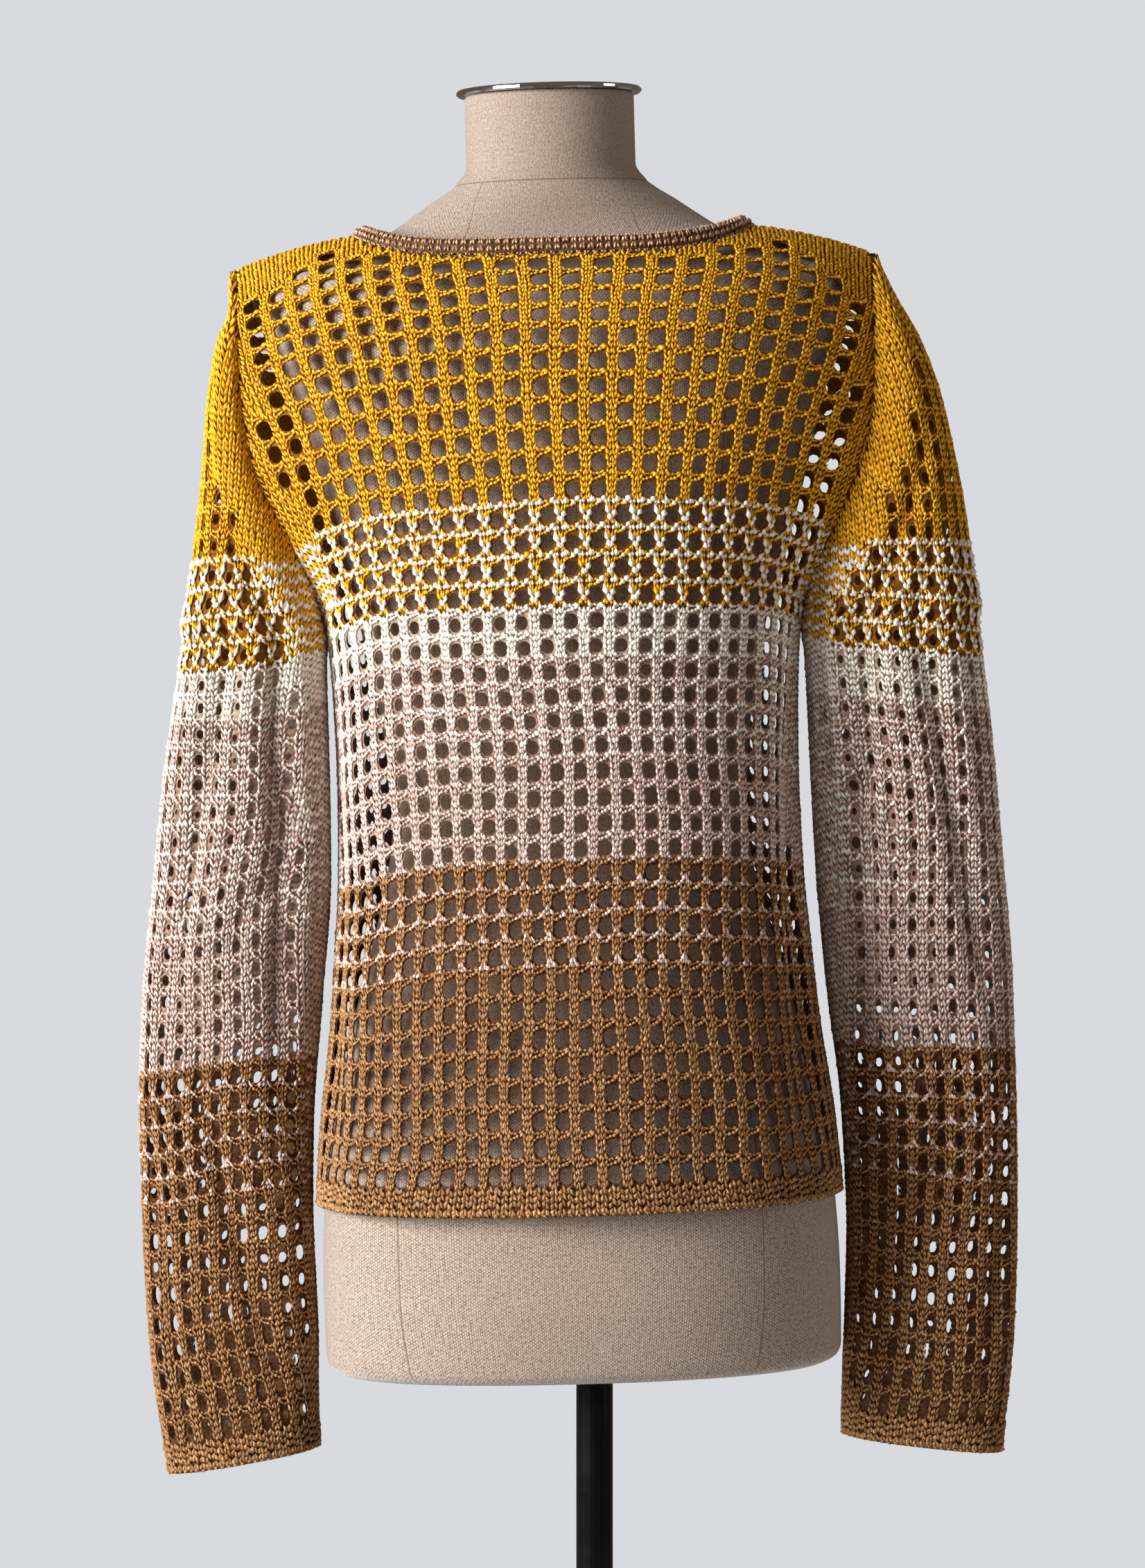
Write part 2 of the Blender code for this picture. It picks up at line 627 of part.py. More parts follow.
def make_form(parent):
    """The padded torso, from its flat bottom to the top of the neck."""
    vertices = []
    for row in FORM:
        power = 2 / (2 if row.height >= NECK_START else FORM_POWER)
        for k in range(FORM_SIDES):
            a = 2 * math.pi * k / FORM_SIDES
            c, s = math.cos(a), math.sin(a)
            depth = row.front if s > 0 else row.back
            x = row.half_width * math.copysign(abs(c) ** power, c)
            y = depth * math.copysign(abs(s) ** power, s)
            vertices.append((x, y, row.height))
    faces = []
    for i in range(len(FORM) - 1):
        for k in range(FORM_SIDES):
            a, b = i * FORM_SIDES + k, i * FORM_SIDES + (k + 1) % FORM_SIDES
            faces.append((a, b, b + FORM_SIDES, a + FORM_SIDES))
    last = (len(FORM) - 1) * FORM_SIDES
    faces.append(tuple(reversed(range(FORM_SIDES))))
    faces.append(tuple(last + k for k in range(FORM_SIDES)))
    return make_object("torso_form", vertices, faces, "linen", parent)


def make_round(name, profile, colour, parent, location, sides):
    """A solid turned about its own upright axis from a profile of (radius, height), bottom to top."""
    vertices, faces = [], []
    for radius, height in profile:
        for k in range(sides):
            a = 2 * math.pi * k / sides
            vertices.append((radius * math.cos(a), radius * math.sin(a), height))
    for i in range(len(profile) - 1):
        for k in range(sides):
            a, b = i * sides + k, i * sides + (k + 1) % sides
            faces.append((a, b, b + sides, a + sides))
    last = (len(profile) - 1) * sides
    faces.append(tuple(reversed(range(sides))))
    faces.append(tuple(last + k for k in range(sides)))
    return make_object(name, vertices, faces, colour, parent, location)


def make_garment(parent):
    """Back, fronts, sleeves and trim."""
    last = NECK_COLUMNS + SHOULDER_COLUMNS
    ends = (0, 2 * last)
    make_wall("back", back_grid(), "wool", parent, 0, ends, LOW_ROWS)
    for name, side in (("front_left", -1), ("front_right", 1)):
        seam = (0,) if side > 0 else (last,)
        make_wall(name, front_grid(side), "wool_side", parent, 0, seam, LOW_ROWS)
    for name, side, table in (("sleeve_left", -1, SLEEVE_LEFT), ("sleeve_right", 1, SLEEVE_RIGHT)):
        grid, welded = sleeve_grid(table, side)
        make_wall(name, grid, "wool", parent, welded, (0, SLEEVE_COLUMNS), welded)
    make_neckband(parent)
    make_front_band("front_band_left", -1, parent)
    make_front_band("front_band_right", 1, parent)


def make_stand(parent):
    """The form, its neck cap, the pole and the base."""
    make_form(parent)
    cap = [
        (CAP_RADIUS - CAP_BEVEL, 0),
        (CAP_RADIUS, CAP_BEVEL),
        (CAP_RADIUS, CAP_THICK - CAP_BEVEL),
        (CAP_RADIUS - CAP_BEVEL, CAP_THICK),
    ]
    make_round("neck_cap", cap, "chrome", parent, (0, NECK_FORWARD, NECK_TOP + SEAT), CAP_SIDES)
    drop = POLE_RADIUS * math.tan(-LEAN) + SEAT
    pole_top = FORM_BOTTOM[2] - drop - abs(FORM_BOTTOM[0]) * math.tan(-LEAN)
    pole = [(POLE_RADIUS, BASE_THICK + SEAT), (POLE_RADIUS, pole_top)]
    make_round("pole", pole, "pole", None, (0, 0, 0), POLE_SIDES)
    base = [
        (BASE_RADIUS - BASE_FOOT, 0),
        (BASE_RADIUS, BASE_FOOT),
        (BASE_RADIUS, BASE_THICK - BASE_EDGE),
        (BASE_RADIUS - BASE_EDGE, BASE_THICK),
    ]
    make_round("base_plate", base, "base", None, (0, 0, 0), BASE_SIDES)


def main():
    clear_scene()
    top = bpy.data.objects.new("form_frame", None)
    top.location = FORM_BOTTOM
    top.rotation_euler = (0, LEAN, 0)
    bpy.context.collection.objects.link(top)
    make_garment(top)
    make_stand(top)


main()
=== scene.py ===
# %% [markdown]
# A cardigan knitted in an open mesh, worn by a linen dress form on a pole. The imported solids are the
# frame: they say where the cloth, the form and the stand are. This lesson dresses them. The cloth's
# walls are replaced by a real net of stitches, the form by a smooth linen cover, and the chrome neck
# plate, the pole and the base keep their solids and get a finish.

import math
from collections import namedtuple

import bpy
import numpy as np
from mathutils import Matrix, Vector


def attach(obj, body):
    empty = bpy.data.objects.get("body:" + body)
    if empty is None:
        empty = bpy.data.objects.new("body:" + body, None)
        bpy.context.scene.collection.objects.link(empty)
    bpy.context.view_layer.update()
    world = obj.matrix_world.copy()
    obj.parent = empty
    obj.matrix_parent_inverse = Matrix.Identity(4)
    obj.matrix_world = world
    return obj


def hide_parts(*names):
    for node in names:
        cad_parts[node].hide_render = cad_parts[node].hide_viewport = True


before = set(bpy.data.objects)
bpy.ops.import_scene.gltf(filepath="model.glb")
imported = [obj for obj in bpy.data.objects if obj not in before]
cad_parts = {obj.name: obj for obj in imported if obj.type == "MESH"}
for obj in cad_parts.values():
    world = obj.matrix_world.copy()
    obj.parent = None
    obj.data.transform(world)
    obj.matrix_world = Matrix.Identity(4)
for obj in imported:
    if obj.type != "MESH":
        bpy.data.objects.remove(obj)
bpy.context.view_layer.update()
print("frame loaded:", len(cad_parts), "nodes")

# %% [markdown]
# The garment and the form lean a little to one side on the upright pole. Everything is worked out
# upright, with height 0 at the form's bottom, and tilted at the end by one matrix.

# %% The leaning frame of the form
LEAN = math.radians(-1.6)
FORM_BOTTOM = Vector((-0.006, 0.0, 0.780))
TILT = Matrix.Translation(FORM_BOTTOM) @ Matrix.Rotation(LEAN, 4, "Y")


def tilted(points):
    """Points of the upright garment, moved to where it hangs."""
    turn = np.array(TILT.to_3x3())
    return np.asarray(points) @ turn.T + np.array(FORM_BOTTOM)


print("the form leans", round(math.degrees(LEAN), 1), "degrees")

# %% [markdown]
# The cut of the body. A plan section at each height gives the cloth's curve from the centre line to
# the side, and above SPRING the cloth turns over the shoulder line like a barrel. These are the same
# driving sizes as the solids have, so the net lies on them.

# %% Sizes of the body
SEAM_GAP = 0.00065
HEM = 0.100
UNDERARM = 0.450
SPRING = 0.600
SHOULDER_SPAN = 0.120
TOP = SPRING + SHOULDER_SPAN
SHOULDER_RISE = 0.062
RIDGE_HIGH = 0.6705
RIDGE_FALL = 0.0225
RIDGE_POWER = 3.3
SHOULDER_HALF = 0.185
NECK_HALF = 0.117
NECK_DROP = {"back": 0.065, "front": 0.1385}
NECK_POWER = {"back": 4.0, "front": 2.4}
OPENING_TOP = 0.004
OPENING_HEM = 0.020
FRONT_BAND_HALF_WIDTH = 0.0058
FRONT_BAND_HALF_DEPTH = 0.0030

BodyRow = namedtuple("BodyRow", "height half_width seam_depth seam_angle back front fullness")
BODY = [BodyRow(*row) for row in (
    (0.100, 0.1530, 0.000, 90, 0.122, 0.121, 0.66),
    (0.135, 0.1510, 0.000, 90, 0.119, 0.119, 0.66),
    (0.205, 0.1425, 0.000, 90, 0.112, 0.117, 0.66),
    (0.250, 0.1385, 0.000, 90, 0.108, 0.117, 0.66),
    (0.300, 0.1350, 0.000, 90, 0.105, 0.118, 0.66),
    (0.355, 0.1340, 0.000, 90, 0.103, 0.121, 0.64),
    (0.415, 0.1355, 0.000, 90, 0.102, 0.124, 0.62),
    (0.450, 0.1390, 0.001, 88, 0.102, 0.126, 0.60),
    (0.467, 0.1440, 0.015, 72, 0.102, 0.127, 0.58),
    (0.504, 0.1600, 0.031, 52, 0.101, 0.128, 0.55),
    (0.555, 0.1800, 0.0365, 42, 0.100, 0.120, 0.52),
    (0.600, 0.1845, 0.036, 38, 0.098, 0.101, 0.50),
)]

FOLD_FADE = 0.15
FOLD_TAIL = 0.05
FOLD_POWER = 0.7
FOLD_TURN = 0.6
Fold = namedtuple("Fold", "across lean top bottom width depth")
FOLDS = {
    "back": (
        Fold(0.152, 0.05, 0.44, 0.13, 0.013, 0.0060),
        Fold(-0.172, -0.03, 0.42, 0.12, 0.012, 0.0035),
        Fold(0.070, 0.02, 0.24, 0.10, 0.022, 0.0030),
        Fold(-0.060, -0.03, 0.22, 0.10, 0.022, 0.0030),
    ),
    "front": (
        Fold(0.062, -0.04, 0.44, 0.10, 0.014, 0.0060),
        Fold(0.104, 0.02, 0.36, 0.10, 0.015, 0.0045),
        Fold(0.150, 0.05, 0.43, 0.13, 0.013, 0.0040),
    ),
}

# %% Reading the body's sizes
CURVE_STEPS = 48


def read(rows, name, height):
    """One column of a table at any height, on a smooth curve through its rows that never overshoots."""
    known = np.array([row.height for row in rows])
    value = np.array([getattr(row, name) for row in rows], dtype=float)
    steep = np.diff(value) / np.diff(known)
    same = steep[:-1] * steep[1:] > 0
    safe = np.where(same, steep[:-1] + steep[1:], 1.0)
    slope = np.zeros(len(value))
    slope[1:-1] = np.where(same, 2 * steep[:-1] * steep[1:] / safe, 0.0)
    height = np.clip(height, known[0], known[-1])
    i = np.clip(np.searchsorted(known, height) - 1, 0, len(known) - 2)
    span = known[i + 1] - known[i]
    t = (height - known[i]) / span
    eased = value[i] + t * t * (3 - 2 * t) * (value[i + 1] - value[i])
    return eased + span * t * (1 - t) * ((1 - t) * slope[i] - t * slope[i + 1])


def lengths(points):
    """Distance along a polyline up to each of its points."""
    steps = np.linalg.norm(np.diff(points, axis=0), axis=1)
    return np.concatenate([[0.0], np.cumsum(steps)])


def section(face, level):
    """The cloth's plan curve on one face, from the centre line to the side, and the length along it."""
    height = min(level, SPRING)
    w = float(read(BODY, "half_width", height))
    seam = float(read(BODY, "seam_depth", height))
    depth = float(read(BODY, face, height))
    full = float(read(BODY, "fullness", height))
    turn = math.tan(math.radians(float(read(BODY, "seam_angle", height))))
    rise = full * (depth - seam)
    corners = np.array([(0, depth), (full * w, depth), (w - rise / turn, seam + rise), (w, seam)])
    t = np.linspace(0, 1, CURVE_STEPS)[:, None]
    curve = np.hstack([(1 - t) ** 3, 3 * t * (1 - t) ** 2, 3 * t**2 * (1 - t), t**3]) @ corners
    return curve, lengths(curve)


def ridge(x):
    """Height of the shoulder line."""
    return RIDGE_HIGH - RIDGE_FALL * (np.abs(x) / SHOULDER_HALF) ** RIDGE_POWER


def fold_depth(face, across, height):
    """How far the folds push the cloth in."""
    push = np.zeros_like(across)
    for fold in FOLDS[face]:
        off = across - fold.across - fold.lean * (height - (fold.top + fold.bottom) / 2)
        rise = (height - fold.bottom + FOLD_TAIL) / (fold.top - fold.bottom + FOLD_TAIL)
        if 0 < rise < 1:
            swell = math.sin(math.pi * rise) ** FOLD_POWER
            push += fold.depth * swell * np.exp(-((off / fold.width) ** 2))
    return push


def body_row(face, shares, level):
    """One level row of the body's cloth at signed shares of the way from the centre line to the side."""
    side = np.sign(shares) + (shares == 0)
    share = np.abs(shares)
    top_curve, top_along = section(face, SPRING)
    x_top = np.interp(share * top_along[-1], top_along, top_curve[:, 0])
    depth_top = np.interp(share * top_along[-1], top_along, top_curve[:, 1])
    fall = ridge(x_top) - SHOULDER_RISE
    curve, along = section(face, level)
    if level <= SPRING:
        x = np.interp(share * along[-1], along, curve[:, 0])
        depth = np.interp(share * along[-1], along, curve[:, 1])
        z = level + (fall - SPRING) * (level - HEM) / (SPRING - HEM)
    else:
        angle = math.pi / 2 * (1 - (level - SPRING) / SHOULDER_SPAN)
        x, depth = x_top, depth_top * math.sin(angle)
        z = fall + SHOULDER_RISE * math.cos(angle)
    across = share * along[-1]
    inward = fold_depth(face, across * side if face == "back" else across, level)
    inward *= np.minimum((1 - share) / FOLD_FADE, 1.0)
    turn = np.hypot(x * FOLD_TURN, depth) + 1e-9
    x = x - inward * x * FOLD_TURN / turn
    depth = depth - inward * depth / turn
    y = depth if face == "front" else -depth
    return np.stack([x * side, y, z], axis=1), along[-1]


_, half_back = body_row("back", np.linspace(-1, 1, 5), 0.5)
print("half the back at the chest measures", round(half_back, 3), "m")

# %% [markdown]
# The sleeves are read the same way, from rows that say where the inner and outer sides lie. Above the
# underarm a row starts and ends at the armhole.

# %% Sizes of the sleeves
SLEEVE_POWER = 2.3
CUFF_TILT = 0.0065
CUFF_TILT_TOP = 0.20
CUFF_TILT_SPAN = 0.25
SLEEVE_CLEAR = 0.0015
UNDERARM_EASE = 0.0022
UNDERARM_EASE_HIGH = 0.035

SleeveRow = namedtuple("SleeveRow", "height inner outer depth forward")
SLEEVES = {
    "right": (
        (-0.053, 0.1525, 0.2445, 0.027, 0.010),
        (-0.018, 0.1535, 0.2490, 0.028, 0.009),
        (0.022, 0.1560, 0.2535, 0.030, 0.008),
        (0.084, 0.1585, 0.2565, 0.031, 0.007),
        (0.146, 0.1570, 0.2575, 0.032, 0.006),
        (0.221, 0.1500, 0.2570, 0.034, 0.004),
        (0.293, 0.1455, 0.2530, 0.037, 0.002),
        (0.369, 0.1435, 0.2480, 0.040, 0.000),
        (0.412, 0.1425, 0.2440, 0.042, 0.000),
        (0.440, 0.1395, 0.2415, 0.043, 0.000),
        (0.500, 0.1395, 0.2350, 0.044, 0.000),
        (0.535, 0.1395, 0.2290, 0.044, 0.000),
        (0.569, 0.1395, 0.2215, 0.043, 0.000),
        (0.598, 0.1395, 0.2110, 0.040, 0.000),
        (0.625, 0.1395, 0.1965, 0.0300, 0.000),
        (0.648, 0.1395, 0.1880, 0.006, 0.000),
    ),
    "left": (
        (-0.052, 0.1590, 0.2465, 0.026, 0.010),
        (-0.030, 0.1590, 0.2495, 0.027, 0.009),
        (0.022, 0.1580, 0.2550, 0.029, 0.008),
        (0.084, 0.1590, 0.2570, 0.030, 0.007),
        (0.146, 0.1570, 0.2570, 0.032, 0.006),
        (0.221, 0.1495, 0.2530, 0.034, 0.004),
        (0.293, 0.1425, 0.2440, 0.037, 0.002),
        (0.355, 0.1415, 0.2360, 0.039, 0.000),
        (0.412, 0.1415, 0.2260, 0.041, 0.000),
        (0.440, 0.1395, 0.2210, 0.042, 0.000),
        (0.500, 0.1395, 0.2120, 0.043, 0.000),
        (0.531, 0.1395, 0.2075, 0.043, 0.000),
        (0.569, 0.1395, 0.2035, 0.042, 0.000),
        (0.609, 0.1395, 0.1955, 0.0375, 0.000),
        (0.621, 0.1395, 0.1890, 0.0320, 0.000),
        (0.635, 0.1395, 0.1880, 0.0250, 0.000),
        (0.648, 0.1395, 0.1880, 0.006, 0.000),
    ),
}
SLEEVES = {side: [SleeveRow(*row) for row in rows] for side, rows in SLEEVES.items()}

Crease = namedtuple("Crease", "height around slope length width depth")
CREASES = (
    Crease(0.330, 0.14, 0.35, 0.16, 0.012, 0.0040),
    Crease(0.275, 0.22, -0.30, 0.14, 0.013, 0.0035),
    Crease(0.300, 0.80, 0.30, 0.18, 0.014, 0.0045),
    Crease(0.225, 0.70, -0.25, 0.15, 0.013, 0.0035),
    Crease(0.060, 0.30, 0.25, 0.15, 0.014, 0.0025),
    Crease(0.020, 0.72, -0.25, 0.16, 0.014, 0.0025),
)
Valley = namedtuple("Valley", "around lean top bottom width depth")
VALLEYS = (
    Valley(0.17, 0.10, 0.56, 0.14, 0.032, 0.0075),
    Valley(0.33, -0.12, 0.50, 0.20, 0.028, 0.0060),
    Valley(0.24, 0.20, 0.22, -0.02, 0.030, 0.0050),
    Valley(0.40, 0.05, 0.16, -0.04, 0.026, 0.0040),
    Valley(0.66, -0.08, 0.52, 0.16, 0.040, 0.0045),
    Valley(0.82, 0.12, 0.36, 0.02, 0.040, 0.0040),
)

# %% Reading the sleeves' sizes
def crease_depth(around, height):
    """How far a sleeve is pushed in by short slanting creases and the long valleys between folds."""
    push = np.zeros_like(around)
    for valley in VALLEYS:
        rise = (height - valley.bottom) / (valley.top - valley.bottom)
        if 0 < rise < 1:
            off = around - valley.around - valley.lean * (rise - 0.5)
            swell = math.sin(math.pi * rise) ** FOLD_POWER
            push += valley.depth * swell * np.exp(-((off / valley.width) ** 2))
    for crease in CREASES:
        off = (around - crease.around + 0.5) % 1 - 0.5
        along = off / (crease.length / 2)
        away = (height - crease.height - crease.slope * off) / crease.width
        bump = crease.depth * np.cos(math.pi / 2 * np.clip(along, -1, 1)) ** 2
        push += bump * np.exp(-(away**2))
    return push


def sleeve_row(table, height, seam, count):
    """One row round a right sleeve, from the seam or inner side round the back, outer side and front."""
    outer = float(read(table, "outer", height))
    depth = float(read(table, "depth", height))
    forward = float(read(table, "forward", height))
    start_x = float(read(table, "inner", height)) if seam is None else seam[0]
    start_y = 0.0 if seam is None else abs(seam[1])
    depth = max(depth, start_y + SLEEVE_CLEAR)
    ratio = (1 - (start_y / depth) ** SLEEVE_POWER) ** (1 / SLEEVE_POWER)
    centre = (start_x + ratio * outer) / (1 + ratio)
    half = outer - centre
    start = math.pi - math.acos(ratio ** (SLEEVE_POWER / 2))
    angle = np.linspace(start, -start, 4 * CURVE_STEPS + 1)
    power = 2 / SLEEVE_POWER
    x = centre + half * np.sign(np.cos(angle)) * np.abs(np.cos(angle)) ** power
    y = forward - depth * np.sign(np.sin(angle)) * np.abs(np.sin(angle)) ** power
    along = lengths(np.stack([x, y], axis=1))
    want = np.linspace(0, along[-1], count)
    x, y = np.interp(want, along, x), np.interp(want, along, y)
    inward = crease_depth(np.linspace(0, 1, count), height)
    away = np.stack([x - centre, (y - forward) * half / depth], axis=1)
    away /= np.linalg.norm(away, axis=1, keepdims=True)
    tilt = CUFF_TILT * min(max((CUFF_TILT_TOP - height) / CUFF_TILT_SPAN, 0.0), 1.0)
    z = height - tilt * (x - centre) / half
    return np.stack([x - inward * away[:, 0], y - inward * away[:, 1], z], axis=1), along[-1]


print("sleeve tables:", {side: len(rows) for side, rows in SLEEVES.items()})

# %% [markdown]
# A surface that can be read at any place is the base of everything knitted. It is a dense table of
# points, read between its points, with the outward normal. Its first number runs across the cloth, as
# a distance from its middle line, and its second runs up.

# %% A surface to knit on
class Surface:
    """A table of cloth points. half holds each row's length from the middle line to its side."""

    def __init__(self, grid, rows, half, first=-1.0, flip=1.0):
        self.grid, self.rows, self.half, self.first = grid, rows, half, first
        normal = np.cross(np.gradient(grid, axis=1), np.gradient(grid, axis=0)) * flip
        self.normal = normal / np.maximum(np.linalg.norm(normal, axis=2, keepdims=True), 1e-12)

    def reach(self, v):
        """Length from the middle line to the side at height v."""
        return np.interp(v, self.rows, self.half)

    def mix(self, table, across, v):
        """Read a table between its points."""
        rows, columns = table.shape[:2]
        share = np.clip(across / self.reach(v), self.first, 1)
        j = (share - self.first) / (1 - self.first) * (columns - 1)
        i = np.interp(v, self.rows, np.arange(rows))
        j0 = np.clip(j.astype(int), 0, columns - 2)
        i0 = np.clip(i.astype(int), 0, rows - 2)
        fj, fi = (j - j0)[..., None], (i - i0)[..., None]
        low = table[i0, j0] * (1 - fj) + table[i0, j0 + 1] * fj
        high = table[i0 + 1, j0] * (1 - fj) + table[i0 + 1, j0 + 1] * fj
        return low * (1 - fi) + high * fi

    def place(self, across, v, lift):
        """Points of the cloth, lifted off it outward."""
        points = self.mix(self.grid, across, v)
        return points + self.mix(self.normal, across, v) * np.asarray(lift)[..., None]


def body_surface(face, first):
    """The back, or the wearer's right half of the front."""
    rows = np.concatenate([np.linspace(HEM, SPRING, 90), np.linspace(SPRING, TOP, 31)[1:]])
    shares = np.linspace(first, 1, 161)
    made = [body_row(face, shares, level) for level in rows]
    grid = np.stack([row[0] for row in made])
    half = np.array([row[1] for row in made])
    return Surface(grid, rows, half, first, 1.0 if face == "back" else -1.0)


def sleeve_surface(table):
    """A sleeve on the wearer's right."""
    levels = np.linspace(UNDERARM, TOP - SEAM_GAP, 60)
    seam = np.array([body_row("back", np.array([1.0]), level)[0][0] for level in levels])
    rows = np.concatenate([np.linspace(table[0].height, seam[0, 2], 110)[:-1], seam[:-1, 2]])
    grid, half = [], []
    for k, height in enumerate(rows):
        above = k - (len(rows) - len(seam) + 1)
        point = seam[above] if above >= 0 else None
        row, around = sleeve_row(table, height, point, 121)
        if above >= 0:
            near = max(0.0, 1 - (height - seam[0, 2]) / UNDERARM_EASE_HIGH)
            row[:, 0] += SEAM_GAP + UNDERARM_EASE * near**2
        grid.append(row)
        half.append(around / 2)
    return Surface(np.stack(grid), rows, np.array(half), -1.0, 1.0)


BACK = body_surface("back", -1.0)
FRONT = body_surface("front", 0.0)
SLEEVE = {side: sleeve_surface(table) for side, table in SLEEVES.items()}
print("sleeve girth at the wrist", round(2 * SLEEVE["right"].half[0], 3), "m")

# %% [markdown]
# Where each panel ends. The back and fronts stop at the neck edge and the shoulder line, the fronts
# also at the opening, and the sleeves at the armhole.

# %% The panels' edges
Panel = namedtuple("Panel", "surface low high top side_margin top_margin")
ARMHOLE_MARGIN = 0.0112
SEAM_MARGIN = 0.0120
LEFT_ARM_MARGIN, LEFT_ARM_LEVEL, LEFT_ARM_SPAN = 0.018, 0.48, 0.045
WAIST_MARGIN, WAIST_LEVEL, WAIST_SPAN = 0.025, 0.33, 0.10
FRONT_LEFT_MARGIN, FRONT_LEFT_LEVELS, FRONT_LEFT_FROM = 0.046, (0.36, 0.60), 0.10
SHOULDER_MARGINS = ([0.100, 0.118, 0.150, 0.175], [0.0072, 0.034, 0.052, 0.068])
SLEEVE_MARGINS = ([0.0, 0.15, 0.32, 0.44, 0.50], [0.015, 0.022, 0.034, 0.040, 0.026])
SLEEVE_TOP_MARGIN = 0.020


def neck_top(face, surface):
    """The level at which the cloth ends, as a function of the distance across."""
    curve, along = section(face, SPRING)
    shares = np.linspace(0, 1, 60)
    x = np.minimum(np.interp(shares * along[-1], along, curve[:, 0]) / NECK_HALF, 1.0)
    level = TOP - NECK_DROP[face] * (1 - x ** NECK_POWER[face]) ** 0.5 - SEAM_GAP
    spread = shares * along[-1]
    return lambda across, v: np.interp(np.abs(across) / surface.reach(v) * along[-1], spread, level)


def opening_edge(v):
    """How far from the centre line a front's cloth starts."""
    down = np.clip((SPRING - v) / (SPRING - HEM), 0.0, 1.0)
    free = OPENING_TOP + (OPENING_HEM - OPENING_TOP) * down
    return free + 2 * FRONT_BAND_HALF_WIDTH + SEAM_GAP


def armhole_margin(across, v):
    """Width of the plain knitting beside the armhole, and beside the side seam below it."""
    return np.where(v > UNDERARM, ARMHOLE_MARGIN, SEAM_MARGIN)


def back_margin(across, v):
    """The back's plain knitting is wider under the wearer's left arm and at the waist's right side."""
    left = LEFT_ARM_MARGIN * np.exp(-(((v - LEFT_ARM_LEVEL) / LEFT_ARM_SPAN) ** 2))
    right = WAIST_MARGIN * np.exp(-(((v - WAIST_LEVEL) / WAIST_SPAN) ** 2))
    return armhole_margin(across, v) + np.where(across < 0, left, right)


def front_left_margin(across, v):
    """Wide plain knitting on the left front under the arm."""
    under = (v > FRONT_LEFT_LEVELS[0]) & (v < FRONT_LEFT_LEVELS[1]) & (across > FRONT_LEFT_FROM)
    return np.where(under, FRONT_LEFT_MARGIN, armhole_margin(across, v))


def shoulder_margin(across, v):
    """Height of the plain knitting under the neck edge, and at the outer end of the shoulder line."""
    return np.interp(np.abs(across), *SHOULDER_MARGINS)


def body_panel(face, surface, low, side_margin):
    """A panel of the body, from its lower edge across to its side seam."""
    def high(v):
        return surface.reach(v) - SEAM_GAP / 2

    return Panel(surface, low, high, neck_top(face, surface), side_margin, shoulder_margin)


back_panel = body_panel("back", BACK, lambda v: -BACK.reach(v) + SEAM_GAP / 2, back_margin)
front_panel = body_panel("front", FRONT, opening_edge, armhole_margin)
front_left_panel = front_panel._replace(side_margin=front_left_margin)


def sleeve_panel(side):
    """A sleeve's edges. A plain strip runs beside the seam from the cuff to the shoulder."""
    surface = SLEEVE[side]
    return Panel(
        surface,
        lambda v: -surface.reach(v),
        surface.reach,
        lambda across, v: np.full_like(v, surface.rows[-1]),
        lambda across, v: np.interp(v, *SLEEVE_MARGINS),
        lambda across, v: np.full_like(v, SLEEVE_TOP_MARGIN),
    )


print("the back's neck edge is at level", np.round(back_panel.top(np.zeros(1), np.full(1, TOP)), 3))

# %% [markdown]
# The knitting is counted in cells. A cell is one eyelet wide, from the middle of one column of
# stitches to the middle of the next, and four knitted rows high, from bar to bar. The columns keep
# their number down the body and draw together at the waist.

# %% Gauge and colour bands
EDGE_ROW = 0.0149
ROW_COUNTS = (-1, 0, 12, 26, 60)
ROW_LEVELS = [HEM] + [HEM + EDGE_ROW + rise for rise in (0, 0.1836, 0.3838, 0.8598)]
CELL_WIDTHS = (
    [0.10, 0.14, 0.20, 0.28, 0.36, 0.43, 0.51, 0.55, 0.60, 0.64, 0.72],
    [0.0145, 0.0138, 0.0132, 0.0128, 0.0132, 0.0137, 0.0144, 0.0153, 0.0172, 0.0181, 0.0181],
)
SLEEVE_ROW = 0.0155
SLEEVE_PITCH = 0.0115

MUSTARD, WHITE, BEIGE, BROWN, TRIM = range(5)
Band = namedtuple("Band", "cells first second")
BODY_BANDS = (
    Band(8, BROWN, BROWN),
    Band(4, BEIGE, BROWN),
    Band(4, BEIGE, BEIGE),
    Band(4, WHITE, BEIGE),
    Band(2, WHITE, WHITE),
    Band(4, WHITE, MUSTARD),
    Band(99, MUSTARD, MUSTARD),
)
SLEEVE_BANDS = (
    Band(9, BROWN, BROWN),
    Band(5, BEIGE, BROWN),
    Band(5, BEIGE, BEIGE),
    Band(8, WHITE, BEIGE),
    Band(2, WHITE, WHITE),
    Band(4, WHITE, MUSTARD),
    Band(99, MUSTARD, MUSTARD),
)

Gauge = namedtuple("Gauge", "pitch level bands spread hole_half hole_high hole_rows uneven wander")
SLEEVE_HOLES = ([0, 3, 12, 16], [1.0, 1.30, 1.30, 0.95])
BODY_HOLES = ([0, 1], [1.0, 1.0])
BODY_DRIFT, SLEEVE_DRIFT = 0.040, 0.050
DRIFT_WAVES, DRIFT_NUMBER = 7, 0.45
SLEEVE_DROOP = 0.045
FRONT_DROP = 0.5
SAG_LEFT, SAG_RIGHT, SAG_REACH = 0.60, 0.30, 10
SAG_ROWS = ([0, 8, 16, 24], [0, 1, 1, 0])


